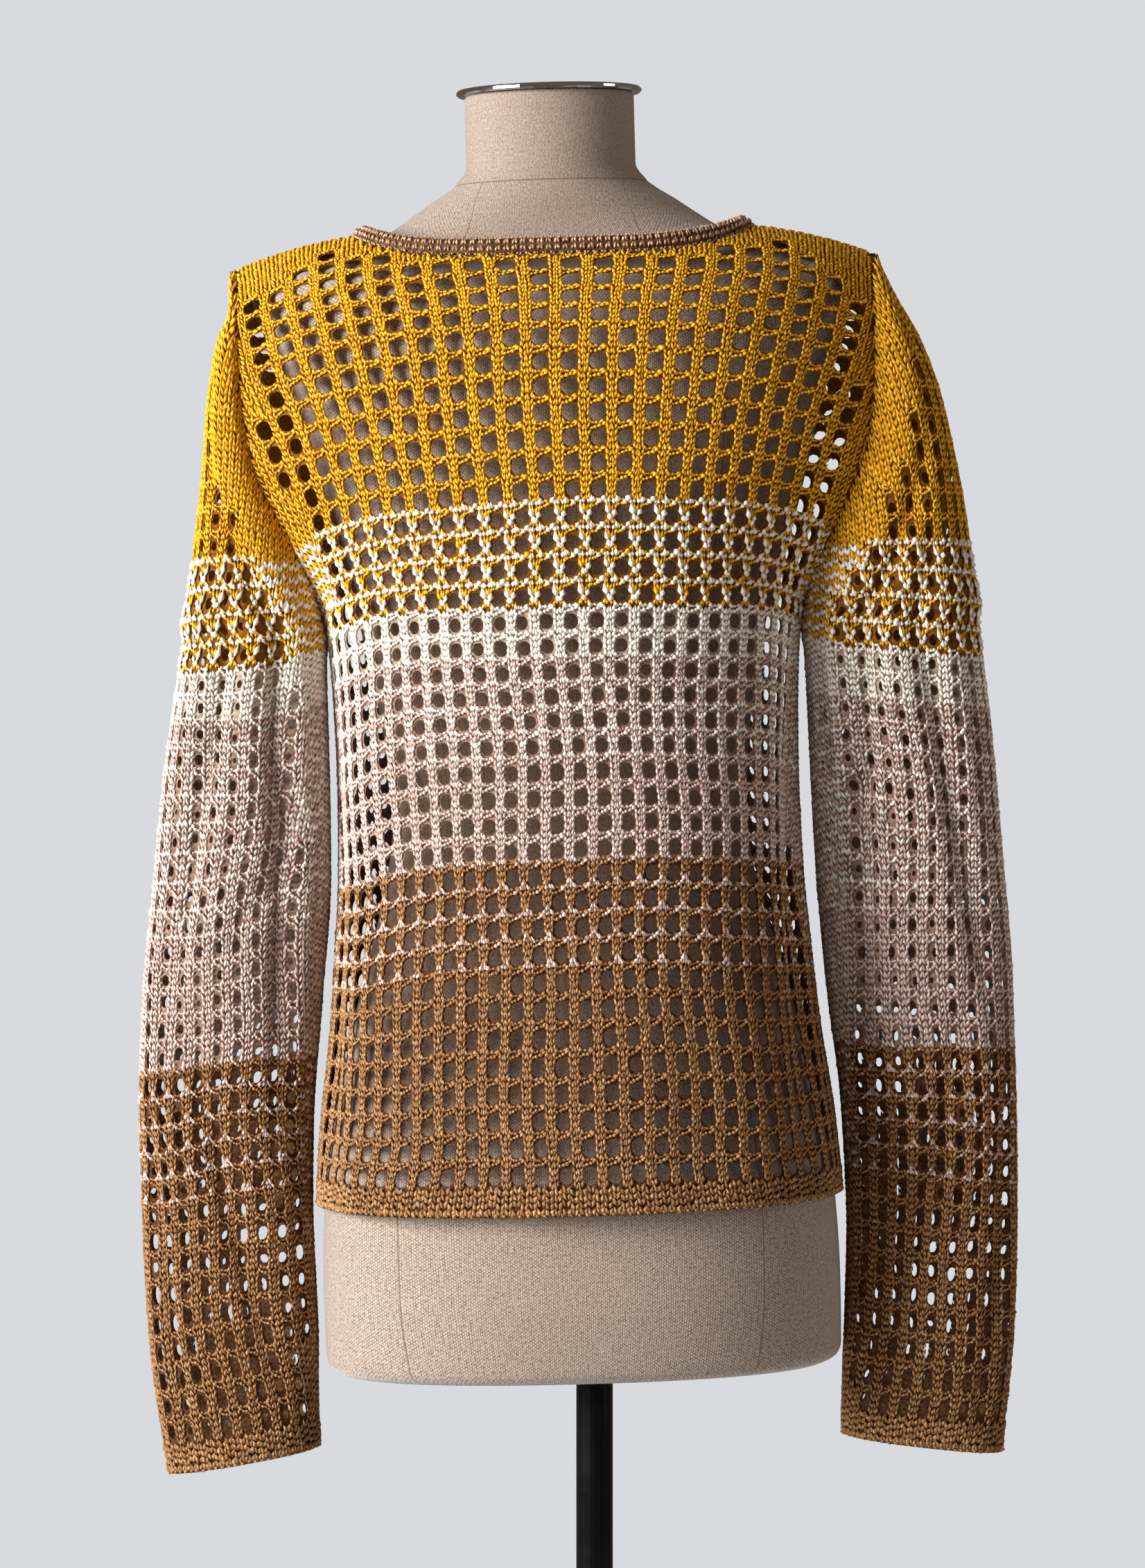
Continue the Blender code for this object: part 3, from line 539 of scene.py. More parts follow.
def make_wander(seed, size):
    """A slow seeded drift of the knitting, in cells, that leaves the hem where it is."""
    draw = np.random.default_rng(seed)
    waves = draw.normal(0, DRIFT_NUMBER, (2, DRIFT_WAVES, 2))
    phases = draw.uniform(0, 2 * math.pi, (2, DRIFT_WAVES))

    def wander(x, y):
        drift = [0.0, 0.0]
        for axis in (0, 1):
            for (kx, ky), phase in zip(waves[axis], phases[axis]):
                drift[axis] = drift[axis] + np.sin(kx * x + ky * y + phase)
        fade = np.clip((y + 1) / 3, 0.0, 1.0)
        return x + size * drift[0] * fade, y + size * drift[1] * fade

    return wander


def body_level(y):
    """Height of a count of rows of the body: the cloth's own weight stretches the lower ones."""
    return np.interp(y, ROW_COUNTS, ROW_LEVELS)


def yarns_of(bands):
    """First and second yarn of each row of cells, counted from the first full one."""
    return np.array([(band.first, band.second) for band in bands for _ in range(band.cells)])


def sleeve_gauge(cuff, seed):
    """The gauge of one sleeve. Its rows droop a little and lie half a cell lower on the front."""
    drift = make_wander(seed, SLEEVE_DRIFT)

    def wander(x, y):
        x, y = drift(x, y)
        fade = np.clip((y + 1) / 5, 0.0, 1.0)
        front = np.clip(x / 5, 0.0, 1.0)
        return x, y + fade * (SLEEVE_DROOP * np.abs(x) - FRONT_DROP * front)

    return Gauge(
        lambda v: np.full_like(v, SLEEVE_PITCH), lambda y: cuff + (y + 1) * SLEEVE_ROW,
        yarns_of(SLEEVE_BANDS), 1.30, 0.205, 0.240, SLEEVE_HOLES, 0.24, wander,
    )


body_drift = make_wander(5, BODY_DRIFT)


def body_wander(x, y):
    """The body's drift, and its rows hanging lower at the sides of the waist, most on the left."""
    x, y = body_drift(x, y)
    sag = np.where(x < 0, SAG_LEFT, SAG_RIGHT) * np.minimum(np.abs(x) / SAG_REACH, 1.1) ** 2
    return x, y - sag * np.interp(y, *SAG_ROWS)


body_gauge = Gauge(
    lambda v: np.interp(v, *CELL_WIDTHS), body_level,
    yarns_of(BODY_BANDS), 1.0, 0.325, 0.350, BODY_HOLES, 0.06, body_wander,
)
print("body cells are", round(1000 * float(body_level(1) - body_level(0)), 1), "mm high at the hem")

# %% [markdown]
# One cell's stitches are charted. A stitch is a leg of yarn from one place to another, in
# shares of the cell, with its thickness in millimetres, how far it stands off the cloth at both ends,
# and its yarn: 0 is the band's first colour and 1 its second. A plain cell has three columns of four
# paired legs. An eyelet cell has two half columns, and a bar of loose strands under the eyelet.

# %% Charts of the stitches
Leg = namedtuple("Leg", "x0 y0 x1 y1 thick lift0 lift1 yarn")


def column_legs(first=0):
    """The half columns beside an eyelet: paired legs whose upper ends lie over the next row."""
    legs = []
    for k in range(first, 4):
        for x0, x1, shift in ((0.072, 0.006, -0.02), (0.088, 0.162, 0.05)):
            y = k / 4 + shift
            legs.append(Leg(x0, y, x1, y + 0.30, 2.0, 0.0, 1.2, k % 2))
            legs.append(Leg(1 - x0, y, 1 - x1, y + 0.30, 2.0, 0.0, 1.2, k % 2))
    return legs


TENTS = ((0.175, 0.00, 0.075, 0.26), (0.085, 0.12, 0.005, 0.44), (0.060, 0.02, 0.010, 0.22))


def tented_legs():
    """The half columns where beige only shows as a tent over each bar, on brown."""
    legs = [leg._replace(yarn=1) for leg in column_legs(1)]
    for side in (0, 1):
        for x0, y0, x1, y1 in TENTS:
            ends = (1 - x0, 1 - x1) if side else (x0, x1)
            legs.append(Leg(ends[0], y0, ends[1], y1, 2.1, 0.3, 1.3, 0))
    return legs


def striped_legs():
    """The half columns where two colours alternate: a long first-colour V round a small second one."""
    legs = []
    for x, lean, thick in ((0.060, 0.030, 2.2), (0.165, -0.030, 2.1)):
        for side in (0, 1):
            ends = (x, x + lean) if side == 0 else (1 - x, 1 - x - lean)
            legs.append(Leg(ends[0], 0.90, ends[1], 1.12, thick, 0.2, 1.0, 0))
            legs.append(Leg(ends[0], 0.10, ends[1] - 0.6 * lean, 0.34, thick - 0.2, 0.1, 0.8, 1))
    legs += [
        (1.000, 0.24, 0.915, 0.54, 2.7, 0.8, 1.3, 0),
        (0.930, 0.44, 0.835, 0.88, 2.9, 1.2, 1.1, 0),
        (0.000, 0.24, 0.085, 0.50, 2.9, 0.8, 1.3, 0),
        (0.075, 0.40, 0.150, 0.72, 2.8, 1.2, 1.0, 0),
        (0.000, 0.52, 0.070, 0.90, 2.1, 0.6, 1.1, 1),
        (1.000, 0.54, 0.935, 0.92, 2.1, 0.6, 1.1, 1),
        (0.120, 0.68, 0.175, 0.94, 2.0, 0.4, 0.9, 1),
        (0.880, 0.78, 0.860, 1.00, 1.9, 0.4, 0.9, 1),
    ]
    return legs


BAR_LEGS = [
    (0.150, 0.84, 0.340, 0.89, 2.1, 0.5, 0.9, 1),
    (0.310, 0.88, 0.500, 0.94, 2.2, 0.7, 0.9, 1),
    (0.460, 0.92, 0.650, 1.00, 2.2, 0.7, 0.9, 0),
    (0.600, 0.96, 0.860, 1.14, 2.3, 0.7, 1.1, 0),
    (0.300, 1.10, 0.570, 1.08, 1.8, 0.1, 0.3, 1),
    (0.530, 1.07, 0.820, 1.19, 1.9, 0.2, 0.4, 1),
    (0.160, 1.24, 0.290, 1.00, 2.2, 0.8, 0.6, 0),
    (0.260, 1.16, 0.370, 1.01, 1.8, 0.5, 0.3, 0),
]
STRIPED_BAR_LEGS = [
    (0.160, 0.83, 0.350, 0.88, 2.1, 0.4, 0.8, 1),
    (0.320, 0.87, 0.530, 0.91, 2.1, 0.6, 0.8, 1),
    (0.430, 0.90, 0.620, 1.05, 2.6, 0.7, 1.2, 0),
    (0.570, 1.00, 0.830, 1.22, 2.7, 0.9, 1.2, 0),
    (0.300, 1.07, 0.600, 1.08, 1.9, 0.1, 0.3, 1),
    (0.620, 0.95, 0.840, 1.08, 1.9, 0.2, 0.4, 1),
    (0.160, 1.22, 0.270, 0.94, 2.6, 0.9, 0.6, 0),
    (0.270, 1.17, 0.350, 0.96, 2.2, 0.7, 0.4, 0),
]
WALE_SHIFTS = (0.0, 0.10, -0.06)
WALES = len(WALE_SHIFTS)


def plain_legs():
    """A cell of plain knitting: three wales of four paired legs, row by row in alternate yarns."""
    legs = []
    for k in range(4):
        for wale, shift in enumerate(WALE_SHIFTS):
            x, y = (wale + 0.5) / WALES, k / 4 + shift
            for side in (-1, 1):
                legs.append(Leg(x + 0.015 * side, y, x + 0.150 * side, y + 0.37, 2.2, 0.0, 1.3, k % 2))
    return legs


def edge_legs():
    """A cell of the hem or cuff: thick upright pairs of legs, with knobs along the very edge."""
    legs = []
    for wale, shift in enumerate(WALE_SHIFTS):
        x = (wale + 0.5) / WALES
        for side in (-1, 1):
            for k in range(4):
                y = k / 4 + 0.02 + 0.7 * shift * min(k, 1)
                legs.append(Leg(x + 0.015 * side, y, x + 0.150 * side, y + 0.30, 2.7, 0.1, 1.6, 0))
        legs.append(Leg(x + 0.10, 0.02, x + 0.22, 0.12, 3.0, 0.9, 1.2, 0))
    return legs


PLAIN, EDGE = np.array(plain_legs()), np.array(edge_legs())
EYELET = np.array(column_legs() + BAR_LEGS)
STRIPED = np.array(striped_legs() + STRIPED_BAR_LEGS)
TENTED = np.array(tented_legs() + BAR_LEGS)
print("legs in a cell: plain", len(PLAIN), "eyelet", len(EYELET), "striped", len(STRIPED))

# %% [markdown]
# Finding the cells of a panel. A cell is an eyelet where its hole keeps clear of the seams and edges,
# and plain knitting elsewhere. Row -1 is the hem or cuff.

# %% Cells of a panel
Cells = namedtuple("Cells", "c r eyelet")
CELL_OVER = 0.6
ROW_OVER = 0.006


def locate(gauge, x, y):
    """Distance across and height of places counted in cells."""
    x, y = gauge.wander(x, y)
    v = gauge.level(y)
    return x * gauge.pitch(v), v


def find_cells(panel, gauge, columns):
    """All cells that the panel reaches."""
    last = panel.surface.rows[-1]
    rows = int((last - gauge.level(0)) / (gauge.level(1) - gauge.level(0)) * 1.15) + 2
    c, r = np.meshgrid(np.arange(-columns, columns), np.arange(-1, rows), indexing="ij")
    c, r = c.ravel(), r.ravel()
    across, v = locate(gauge, c + 0.5, r + 0.5)
    pitch = gauge.pitch(v)
    top = panel.top(across, v)
    side = np.minimum(across - panel.low(v), panel.high(v) - across)
    inside = (side > -CELL_OVER * pitch) & (gauge.level(r) < top + ROW_OVER) & (gauge.level(r) < last)
    eyelet = (side > panel.side_margin(across, v)) & (top - v > panel.top_margin(across, v)) & (r >= 0)
    return Cells(c[inside], r[inside], eyelet[inside])


def settle(panel, gauge, c, r):
    """The same, kept inside the panel."""
    across, v = locate(gauge, c, r)
    v = np.clip(v, panel.surface.rows[0], panel.surface.rows[-1])
    v = np.minimum(v, panel.top(across, v))
    across = np.clip(across, panel.low(v), panel.high(v))
    return across, v


back_cells = find_cells(back_panel, body_gauge, 17)
eyelets = int(back_cells.eyelet.sum())
print("the back has", eyelets, "eyelets and", len(back_cells.c) - eyelets, "plain cells")

# %% [markdown]
# The ground of the net is one thin sheet with a rounded hole in each eyelet cell. It backs the
# stitches, so little light gets between the legs, and its colour is the yarn's, darkened as painted
# shade. In an eyelet cell each face is a quad between the cell's outline and the hole's, and a plain
# cell is cut in thirds both ways, so that all cells join.

# %% The ground of the net
HOLE_POWER = 2.05
HOLE_SHARE = np.array([1.0, 0.82, 0.92, 0.95])
HOLE_LEAST, HOLE_MOST = 0.45, 1.15
THIRDS = 3
WELD_STEPS = 3000
OUTLINE = np.array(
    [(i / 3, 0.0) for i in range(3)] + [(1.0, i / 3) for i in range(3)]
    + [(1 - i / 3, 1.0) for i in range(3)] + [(0.0, 1 - i / 3) for i in range(3)]
)
ROUND = len(OUTLINE)


def hole_outline(gauge):
    """Points of a hole opposite the points of its cell's outline."""
    points = []
    for x, y in OUTLINE:
        angle = math.atan2(y - 0.5, x - 0.5)
        c, s = math.cos(angle), math.sin(angle)
        reach = (abs(c) ** HOLE_POWER + abs(s) ** HOLE_POWER) ** (-1 / HOLE_POWER)
        points.append((0.5 + gauge.hole_half * reach * c, 0.5 + gauge.hole_high * reach * s))
    return np.array(points)


def net_ground(gauge, cells, seed):
    """Points, counted in cells, and quads of a panel's ground."""
    hole = hole_outline(gauge) - 0.5
    spots = np.stack([cells.c, cells.r], axis=1)[:, None, :]
    open_spots, shut_spots = spots[cells.eyelet], spots[~cells.eyelet]
    open_r = cells.r[cells.eyelet]
    n = len(open_r)
    draw = np.random.default_rng(seed)
    size = HOLE_SHARE[gauge.bands[np.clip(open_r, 0, len(gauge.bands) - 1)][:, 0]]
    size = size * np.interp(open_r, *gauge.hole_rows)
    size = size * np.clip(draw.normal(1.0, gauge.uneven, n), HOLE_LEAST, HOLE_MOST)
    middle = 0.5 + draw.normal(0, gauge.uneven / 4, (n, 2))
    edge = open_spots + OUTLINE[None]
    inner = open_spots + middle[:, None] + hole[None] * size[:, None, None]
    first = np.arange(n)[:, None] * ROUND
    k = np.arange(ROUND)[None]
    after = (k + 1) % ROUND
    inside = n * ROUND + first
    ring = np.stack([first + k, first + after, inside + after, inside + k], axis=2)
    steps = np.arange(THIRDS + 1) / THIRDS
    px, py = np.meshgrid(steps, steps, indexing="ij")
    shut = shut_spots + np.stack([px.ravel(), py.ravel()], axis=1)[None]
    wide = THIRDS + 1
    base = 2 * ROUND * n + np.arange(len(shut))[:, None] * wide * wide
    i, j = np.meshgrid(np.arange(THIRDS), np.arange(THIRDS), indexing="ij")
    corner = (i * wide + j).ravel()[None] + base
    quads = np.stack([corner, corner + wide, corner + wide + 1, corner + 1], axis=2)
    counted = np.concatenate([part.reshape(-1, 2) for part in (edge, inner, shut)])
    return counted, np.concatenate([ring.reshape(-1, 4), quads.reshape(-1, 4)])


def weld(counted, faces):
    """Join points that lie on the same place of the count."""
    key = np.round(counted * WELD_STEPS).astype(np.int64)
    _, first, back = np.unique(key, axis=0, return_index=True, return_inverse=True)
    return counted[first], back.ravel()[faces]


counted, quads = weld(*net_ground(body_gauge, back_cells, 1))
print("the back's ground has", len(quads), "faces")

# %% [markdown]
# Stitches. Each leg is a small grain of yarn with eight faces, pointed at both ends and lying on the
# cloth's surface. Thousands of them are made at once as arrays. Small random shifts keep the knitting
# from looking printed, and the same seed gives the same cloth each time.

# %% Legs of yarn
LEG_FACES = np.array([
    (0, 1, 2), (0, 2, 3), (0, 3, 4), (0, 4, 1), (5, 2, 1), (5, 3, 2), (5, 4, 3), (5, 1, 4),
])
LEG_SHIFT = 0.017
LIFT_SHIFT = 0.08
LEG_SWELL = 0.12
LEG_OVER = 0.10
LEG_THINNER = 0.35
HALF_COLUMN = 0.2
COLUMN_SWELL = 0.38
SMALL_HOLE_COLUMNS = 1.20
SMALL_HOLE_BARS = 1.40
YARN_SIZE = np.array([1.0, 1.20, 1.13, 1.10])
HEATHER, STRIPED_HEATHER = 0.32, 0.06
END_SLACK, SIDE_SLACK, TOP_SLACK = 0.001, 0.0008, 0.0015
MILLIMETRE = 0.001
HALF_WIDE, HALF_HIGH = 0.0005, 0.00046


def spread_columns(x, y, spread, small):
    """Legs of half columns, spread towards the eyelet, most beside the bars and small holes."""
    wide = spread * (1 + COLUMN_SWELL * np.cos(math.pi * y) ** 2)
    wide = wide * np.where(small, SMALL_HOLE_COLUMNS, 1.0)
    bar = (x > HALF_COLUMN) & (x < 1 - HALF_COLUMN)
    y = np.where(small & bar, 1 + (y - 1) * SMALL_HOLE_BARS, y)
    left = np.where(x < HALF_COLUMN, x * wide, x)
    return np.where(x > 1 - HALF_COLUMN, 1 - (1 - x) * wide, left), y


def leg_table(gauge, cells, seed):
    """Every leg of a panel, in cells: both ends, thickness, lifts and yarn."""
    draw = np.random.default_rng(seed)
    found = []
    first, second = gauge.bands[np.clip(cells.r, 0, len(gauge.bands) - 1)].T
    mixed = cells.eyelet & (first != second)
    striped, tented = mixed & (second == MUSTARD), mixed & (second == BROWN)
    kinds = (
        (EDGE, cells.r < 0, 1.0),
        (PLAIN, (cells.r >= 0) & ~cells.eyelet, 1.0),
        (EYELET, cells.eyelet & ~striped & ~tented, gauge.spread),
        (STRIPED, striped, gauge.spread),
        (TENTED, tented, gauge.spread),
    )
    for legs, chosen, spread in kinds:
        c, r = cells.c[chosen], cells.r[chosen]
        n = len(c)
        x = np.repeat(legs[None, :, [0, 2]], n, axis=0)
        y = np.repeat(legs[None, :, [1, 3]], n, axis=0)
        if legs is not EDGE and legs is not PLAIN:
            small = np.isin(first[chosen], (WHITE, BEIGE)) & (legs is EYELET and spread > 1)
            x, y = spread_columns(x, y, spread, small[:, None, None])
        x = x + draw.normal(0, LEG_SHIFT, x.shape)
        y = y + draw.normal(0, LEG_SHIFT, y.shape)
        swell = np.exp(draw.normal(0, LEG_SWELL, (n, len(legs))))
        thick = legs[None, :, 4] * swell / spread**LEG_THINNER
        lift = np.repeat(legs[None, :, [5, 6]], n, axis=0) + draw.normal(0, LIFT_SHIFT, x.shape)
        heather = np.where(second[chosen] == MUSTARD, STRIPED_HEATHER, HEATHER * spread)
        swapped = draw.random((n, len(legs))) < heather[:, None]
        main = (legs[None, :, 7] == 0) & ~swapped
        yarn = np.where(main, first[chosen][:, None], second[chosen][:, None])
        thick = thick * YARN_SIZE[yarn]
        ends = np.concatenate([x + c[:, None, None], y + r[:, None, None]], axis=2)
        table = np.concatenate([ends, thick[..., None], lift, yarn[..., None]], axis=2)
        found.append(table.reshape(-1, 8))
    return np.concatenate(found)


def keep_inside(panel, gauge, legs):
    """The legs whose ends both lie on the panel."""
    keep = np.ones(len(legs), dtype=bool)
    for end in (0, 1):
        across, v = locate(gauge, legs[:, end], legs[:, 2 + end])
        low, high = panel.surface.rows[0] - END_SLACK, panel.surface.rows[-1] + END_SLACK
        keep &= (v > low) & (v < high)
        v = np.clip(v, low, high)
        keep &= (across > panel.low(v) - SIDE_SLACK) & (across < panel.high(v) + SIDE_SLACK)
        keep &= v < panel.top(across, v) + TOP_SLACK
    return legs[keep]


def leg_points(panel, gauge, legs):
    """Six points for each leg."""
    ends = []
    for end in (0, 1):
        across, v = locate(gauge, legs[:, end], legs[:, 2 + end])
        v = np.clip(v, panel.surface.rows[0], panel.surface.rows[-1])
        ends.append(panel.surface.place(across, v, legs[:, 5 + end] * MILLIMETRE))
    across, middle_v = locate(gauge, legs[:, 0:2].mean(axis=1), legs[:, 2:4].mean(axis=1))
    normal = panel.surface.mix(panel.surface.normal, across, middle_v)
    return grains(ends[0], ends[1], normal, legs[:, 4] * HALF_WIDE, legs[:, 4] * HALF_HIGH)


def grains(start, end, normal, half_wide, half_high):
    """Grains of yarn from start to end, as an array of six points each."""
    along = end - start
    start, end = start - along * LEG_OVER, end + along * LEG_OVER
    size = np.maximum(np.linalg.norm(along, axis=1, keepdims=True), 1e-9)
    along = along / size
    aside = np.cross(along, normal)
    aside /= np.maximum(np.linalg.norm(aside, axis=1, keepdims=True), 1e-9)
    up = np.cross(aside, along)
    middle = (start + end) / 2
    wide, high = aside * half_wide[:, None], up * half_high[:, None]
    return np.stack([start, middle + wide, middle + high, middle - wide, middle - high, end], axis=1)


print("a leg has", len(LEG_FACES), "faces")

# %% [markdown]
# From arrays to meshes. foreach_set writes whole arrays at once, which is far quicker than a list of
# Python tuples. Each leg gets two texture maps: one where all legs are apart, for baking, and one that
# runs along the yarn, with its own place in the noise for each leg.

# %% Meshes from arrays
MIRROR = np.array([-1, 1, 1])
TILE_MARGIN = 0.04
FAR_APART, STEP_APART = 400, (1.0, 7.0)


def mesh_object(name, points, faces, materials, slots=None, maps=None):
    """An object from arrays. maps holds texture places for each corner of each face, by name."""
    mesh = bpy.data.meshes.new(name)
    sides = faces.shape[1]
    mesh.vertices.add(len(points))
    mesh.vertices.foreach_set("co", np.asarray(points, dtype=np.float32).ravel())
    mesh.loops.add(faces.size)
    mesh.loops.foreach_set("vertex_index", faces.astype(np.int32).ravel())
    mesh.polygons.add(len(faces))
    mesh.polygons.foreach_set("loop_start", np.arange(len(faces), dtype=np.int32) * sides)
    for material in materials:
        mesh.materials.append(material)
    if slots is not None:
        mesh.polygons.foreach_set("material_index", np.asarray(slots, dtype=np.int32))
    for map_name, places in (maps or {}).items():
        layer = mesh.uv_layers.new(name=map_name)
        layer.uv.foreach_set("vector", np.asarray(places, dtype=np.float32).ravel())
    mesh.update(calc_edges=True)
    mesh.validate()
    mesh.shade_smooth()
    piece = bpy.data.objects.new(name, mesh)
    bpy.context.collection.objects.link(piece)
    return piece


def leg_maps(count, seed):
    """The two texture maps of a mesh of legs."""
    tile = []
    for upper in (0, 1):
        for k in range(4):
            tip, near, far = (k + 0.5, upper), (k, 0.5), (k + 1, 0.5)
            tile.append((tip, far, near) if upper else (tip, near, far))
    around = np.array(tile, dtype=float) * np.array([1 / 4, 1.0])
    side = math.ceil(math.sqrt(count))
    n = np.arange(count)
    corner = np.stack([n % side, n // side], axis=1)[:, None, None, :]
    bake = (corner + TILE_MARGIN + (1 - 2 * TILE_MARGIN) * around[None]) / side
    draw = np.random.default_rng(seed)
    shift = draw.integers(0, FAR_APART, (count, 1, 1, 2)) * np.array(STEP_APART)
    return {"OFBake": bake, "yarn": around[None] + shift}


def knit_legs(name, points, yarns, materials, seed, mirror):
    """A mesh object of many legs of yarn."""
    if mirror:
        points = points[:, [0, 3, 2, 1, 4, 5]] * MIRROR
    count = len(points)
    faces = (np.arange(count)[:, None, None] * 6 + LEG_FACES[None]).reshape(-1, 3)
    slots = np.repeat(yarns.astype(int), 8)
    points, maps = tilted(points.reshape(-1, 3)), leg_maps(count, seed)
    return mesh_object(name, points, faces, materials, slots, maps)


def loft_faces(n, sides, outward):
    """Triangles of n rings with an end point each, which come last."""
    i, k = np.meshgrid(np.arange(n - 1), np.arange(sides), indexing="ij")
    a, b = i * sides + k, i * sides + (k + 1) % sides
    quads = [a, b, b + sides, a + sides] if outward else [a, a + sides, b + sides, b]
    quads = np.stack(quads, axis=2).reshape(-1, 4)
    k, low = np.arange(sides), (n - 1) * sides
    after, order = (k + 1) % sides, [1, 0, 2] if outward else [0, 1, 2]
    first = np.stack([k, after, np.full_like(k, n * sides)], axis=1)[:, order]
    last = np.stack([low + after, low + k, np.full_like(k, n * sides + 1)], axis=1)[:, order]
    return np.concatenate([quads[:, [0, 1, 2]], quads[:, [0, 2, 3]], first, last])


def surface_area(points, faces):
    """Area of quads."""
    a = points[faces[:, 2]] - points[faces[:, 0]]
    b = points[faces[:, 3]] - points[faces[:, 1]]
    return np.linalg.norm(np.cross(a, b), axis=1) / 2


print("mesh helpers ready")

# %% [markdown]
# Finishes start with two node groups. The yarn is plied: fine strands run along each leg, some lighter
# and some darker, with painted shade in the grooves between them, so the group stretches a noise along
# the yarn and gives a colour, a roughness and a height. It also paints shade at both ends of each leg,
# where the legs meet. The linen's group weaves two sets of threads over and under.

# %% Node helpers
KINDS = {3: "NodeSocketVector", 4: "NodeSocketColor"}
FINISH = {"Colour": "NodeSocketColor", "Roughness": "NodeSocketFloat", "Height": "NodeSocketFloat"}


def fill(tree, node, values):
    """Link or set a node's inputs, by name or number."""
    for key, value in values.items():
        if hasattr(value, "is_output"):
            tree.links.new(value, node.inputs[key])
        elif value is not None:
            node.inputs[key].default_value = value


def new_group(name, inputs, outputs):
    """An empty node group with named sockets. The length of a value tells its socket's kind."""
    group = bpy.data.node_groups.new(name, "ShaderNodeTree")
    for title, value in inputs.items():
        kind = KINDS[len(value)] if isinstance(value, tuple) else "NodeSocketFloat"
        socket = group.interface.new_socket(name=title, in_out="INPUT", socket_type=kind)
        socket.default_value = value
    for title, kind in outputs.items():
        group.interface.new_socket(name=title, in_out="OUTPUT", socket_type=kind)
    return group, group.nodes.new("NodeGroupInput").outputs, group.nodes.new("NodeGroupOutput")


def use_group(tree, group, values):
    """The outputs of a node group put into a material."""
    node = tree.nodes.new("ShaderNodeGroup")
    node.node_tree = group
    fill(tree, node, values)
    return node.outputs


def math_node(tree, operation, a, b=None, c=None, clamp=False):
    """A Math node's output."""
    node = tree.nodes.new("ShaderNodeMath")
    node.operation, node.use_clamp = operation, clamp
    fill(tree, node, {0: a, 1: b, 2: c})
    return node.outputs[0]


def mix_colour(tree, factor, a, b, blend="MIX"):
    """A colour mix node's output."""
    node = tree.nodes.new("ShaderNodeMix")
    node.data_type, node.blend_type = "RGBA", blend
    fill(tree, node, {0: factor, 6: a, 7: b})
    return node.outputs[2]


def noise(tree, vector, scale, detail=2.0):
    """A noise texture's value."""
    node = tree.nodes.new("ShaderNodeTexNoise")
    fill(tree, node, {"Vector": vector, "Scale": scale, "Detail": detail})
    return node.outputs["Fac"]


def scaled(tree, vector, x, y):
    """A vector with its first two parts multiplied."""
    node = tree.nodes.new("ShaderNodeVectorMath")
    node.operation = "MULTIPLY"
    fill(tree, node, {0: vector, 1: (x, y, 1.0)})
    return node.outputs[0]


def stretched(tree, value, low, high):
    """A value between low and high, stretched to 0 to 1."""
    node = tree.nodes.new("ShaderNodeMapRange")
    fill(tree, node, {"Value": value, "From Min": low, "From Max": high})
    return node.outputs["Result"]


def parts_of(tree, vector):
    """A vector's three parts."""
    node = tree.nodes.new("ShaderNodeSeparateXYZ")
    fill(tree, node, {0: vector})
    return node.outputs


print("node helpers ready")

# %% The yarn's group
def make_yarn_group():
    """Plied yarn, with painted shade in the grooves between plies and towards each leg's ends. Fleck
    turns some plies to another colour, as in a heather.
    """
    group, given, made = new_group(
        "plied_yarn",
        {
            "Vector": (0, 0, 0), "Colour": (0.5, 0.5, 0.5, 1), "Shade": (0.2, 0.2, 0.2, 1),
            "Fleck Colour": (0.8, 0.8, 0.8, 1), "Fleck": 0.3,
        },
        FINISH,
    )
    vector = given["Vector"]
    plies = stretched(group, noise(group, scaled(group, vector, 16.0, 1.6), 1.0, 1.0), 0.30, 0.70)
    heather = stretched(group, noise(group, scaled(group, vector, 5.0, 2.2), 1.0, 1.0), 0.50, 0.62)
    fleck = math_node(group, "MULTIPLY", heather, given["Fleck"], clamp=True)
    colour = mix_colour(group, plies, given["Shade"], given["Colour"])
    colour = mix_colour(group, fleck, colour, given["Fleck Colour"])
    # Painted shade: each leg darkens towards both ends, where it meets the next; whole varies each leg's
    # tone at random.
    along = math_node(group, "FRACT", parts_of(group, vector)[1])
    tip = math_node(group, "ABSOLUTE", math_node(group, "SUBTRACT", along, 0.5))
    tip = math_node(group, "POWER", math_node(group, "MULTIPLY", tip, 2.0), 2.0)
    whole = noise(group, scaled(group, vector, 0.9, 0.35), 1.0, 0.0)
    light = math_node(group, "MULTIPLY_ADD", whole, 0.8, 0.68)
    light = math_node(group, "MULTIPLY_ADD", tip, -0.32, light)
    tone_and_tip_shade = group.nodes.new("ShaderNodeCombineColor")
    fill(group, tone_and_tip_shade, {0: light, 1: light, 2: light})
    colour = mix_colour(group, 1.0, colour, tone_and_tip_shade.outputs[0], "MULTIPLY")
    rough = math_node(group, "MULTIPLY_ADD", plies, -0.2, 0.80)
    fill(group, made, {"Colour": colour, "Roughness": rough, "Height": plies})
    return group


YARN_GROUP = make_yarn_group()
print("node group:", YARN_GROUP.name)

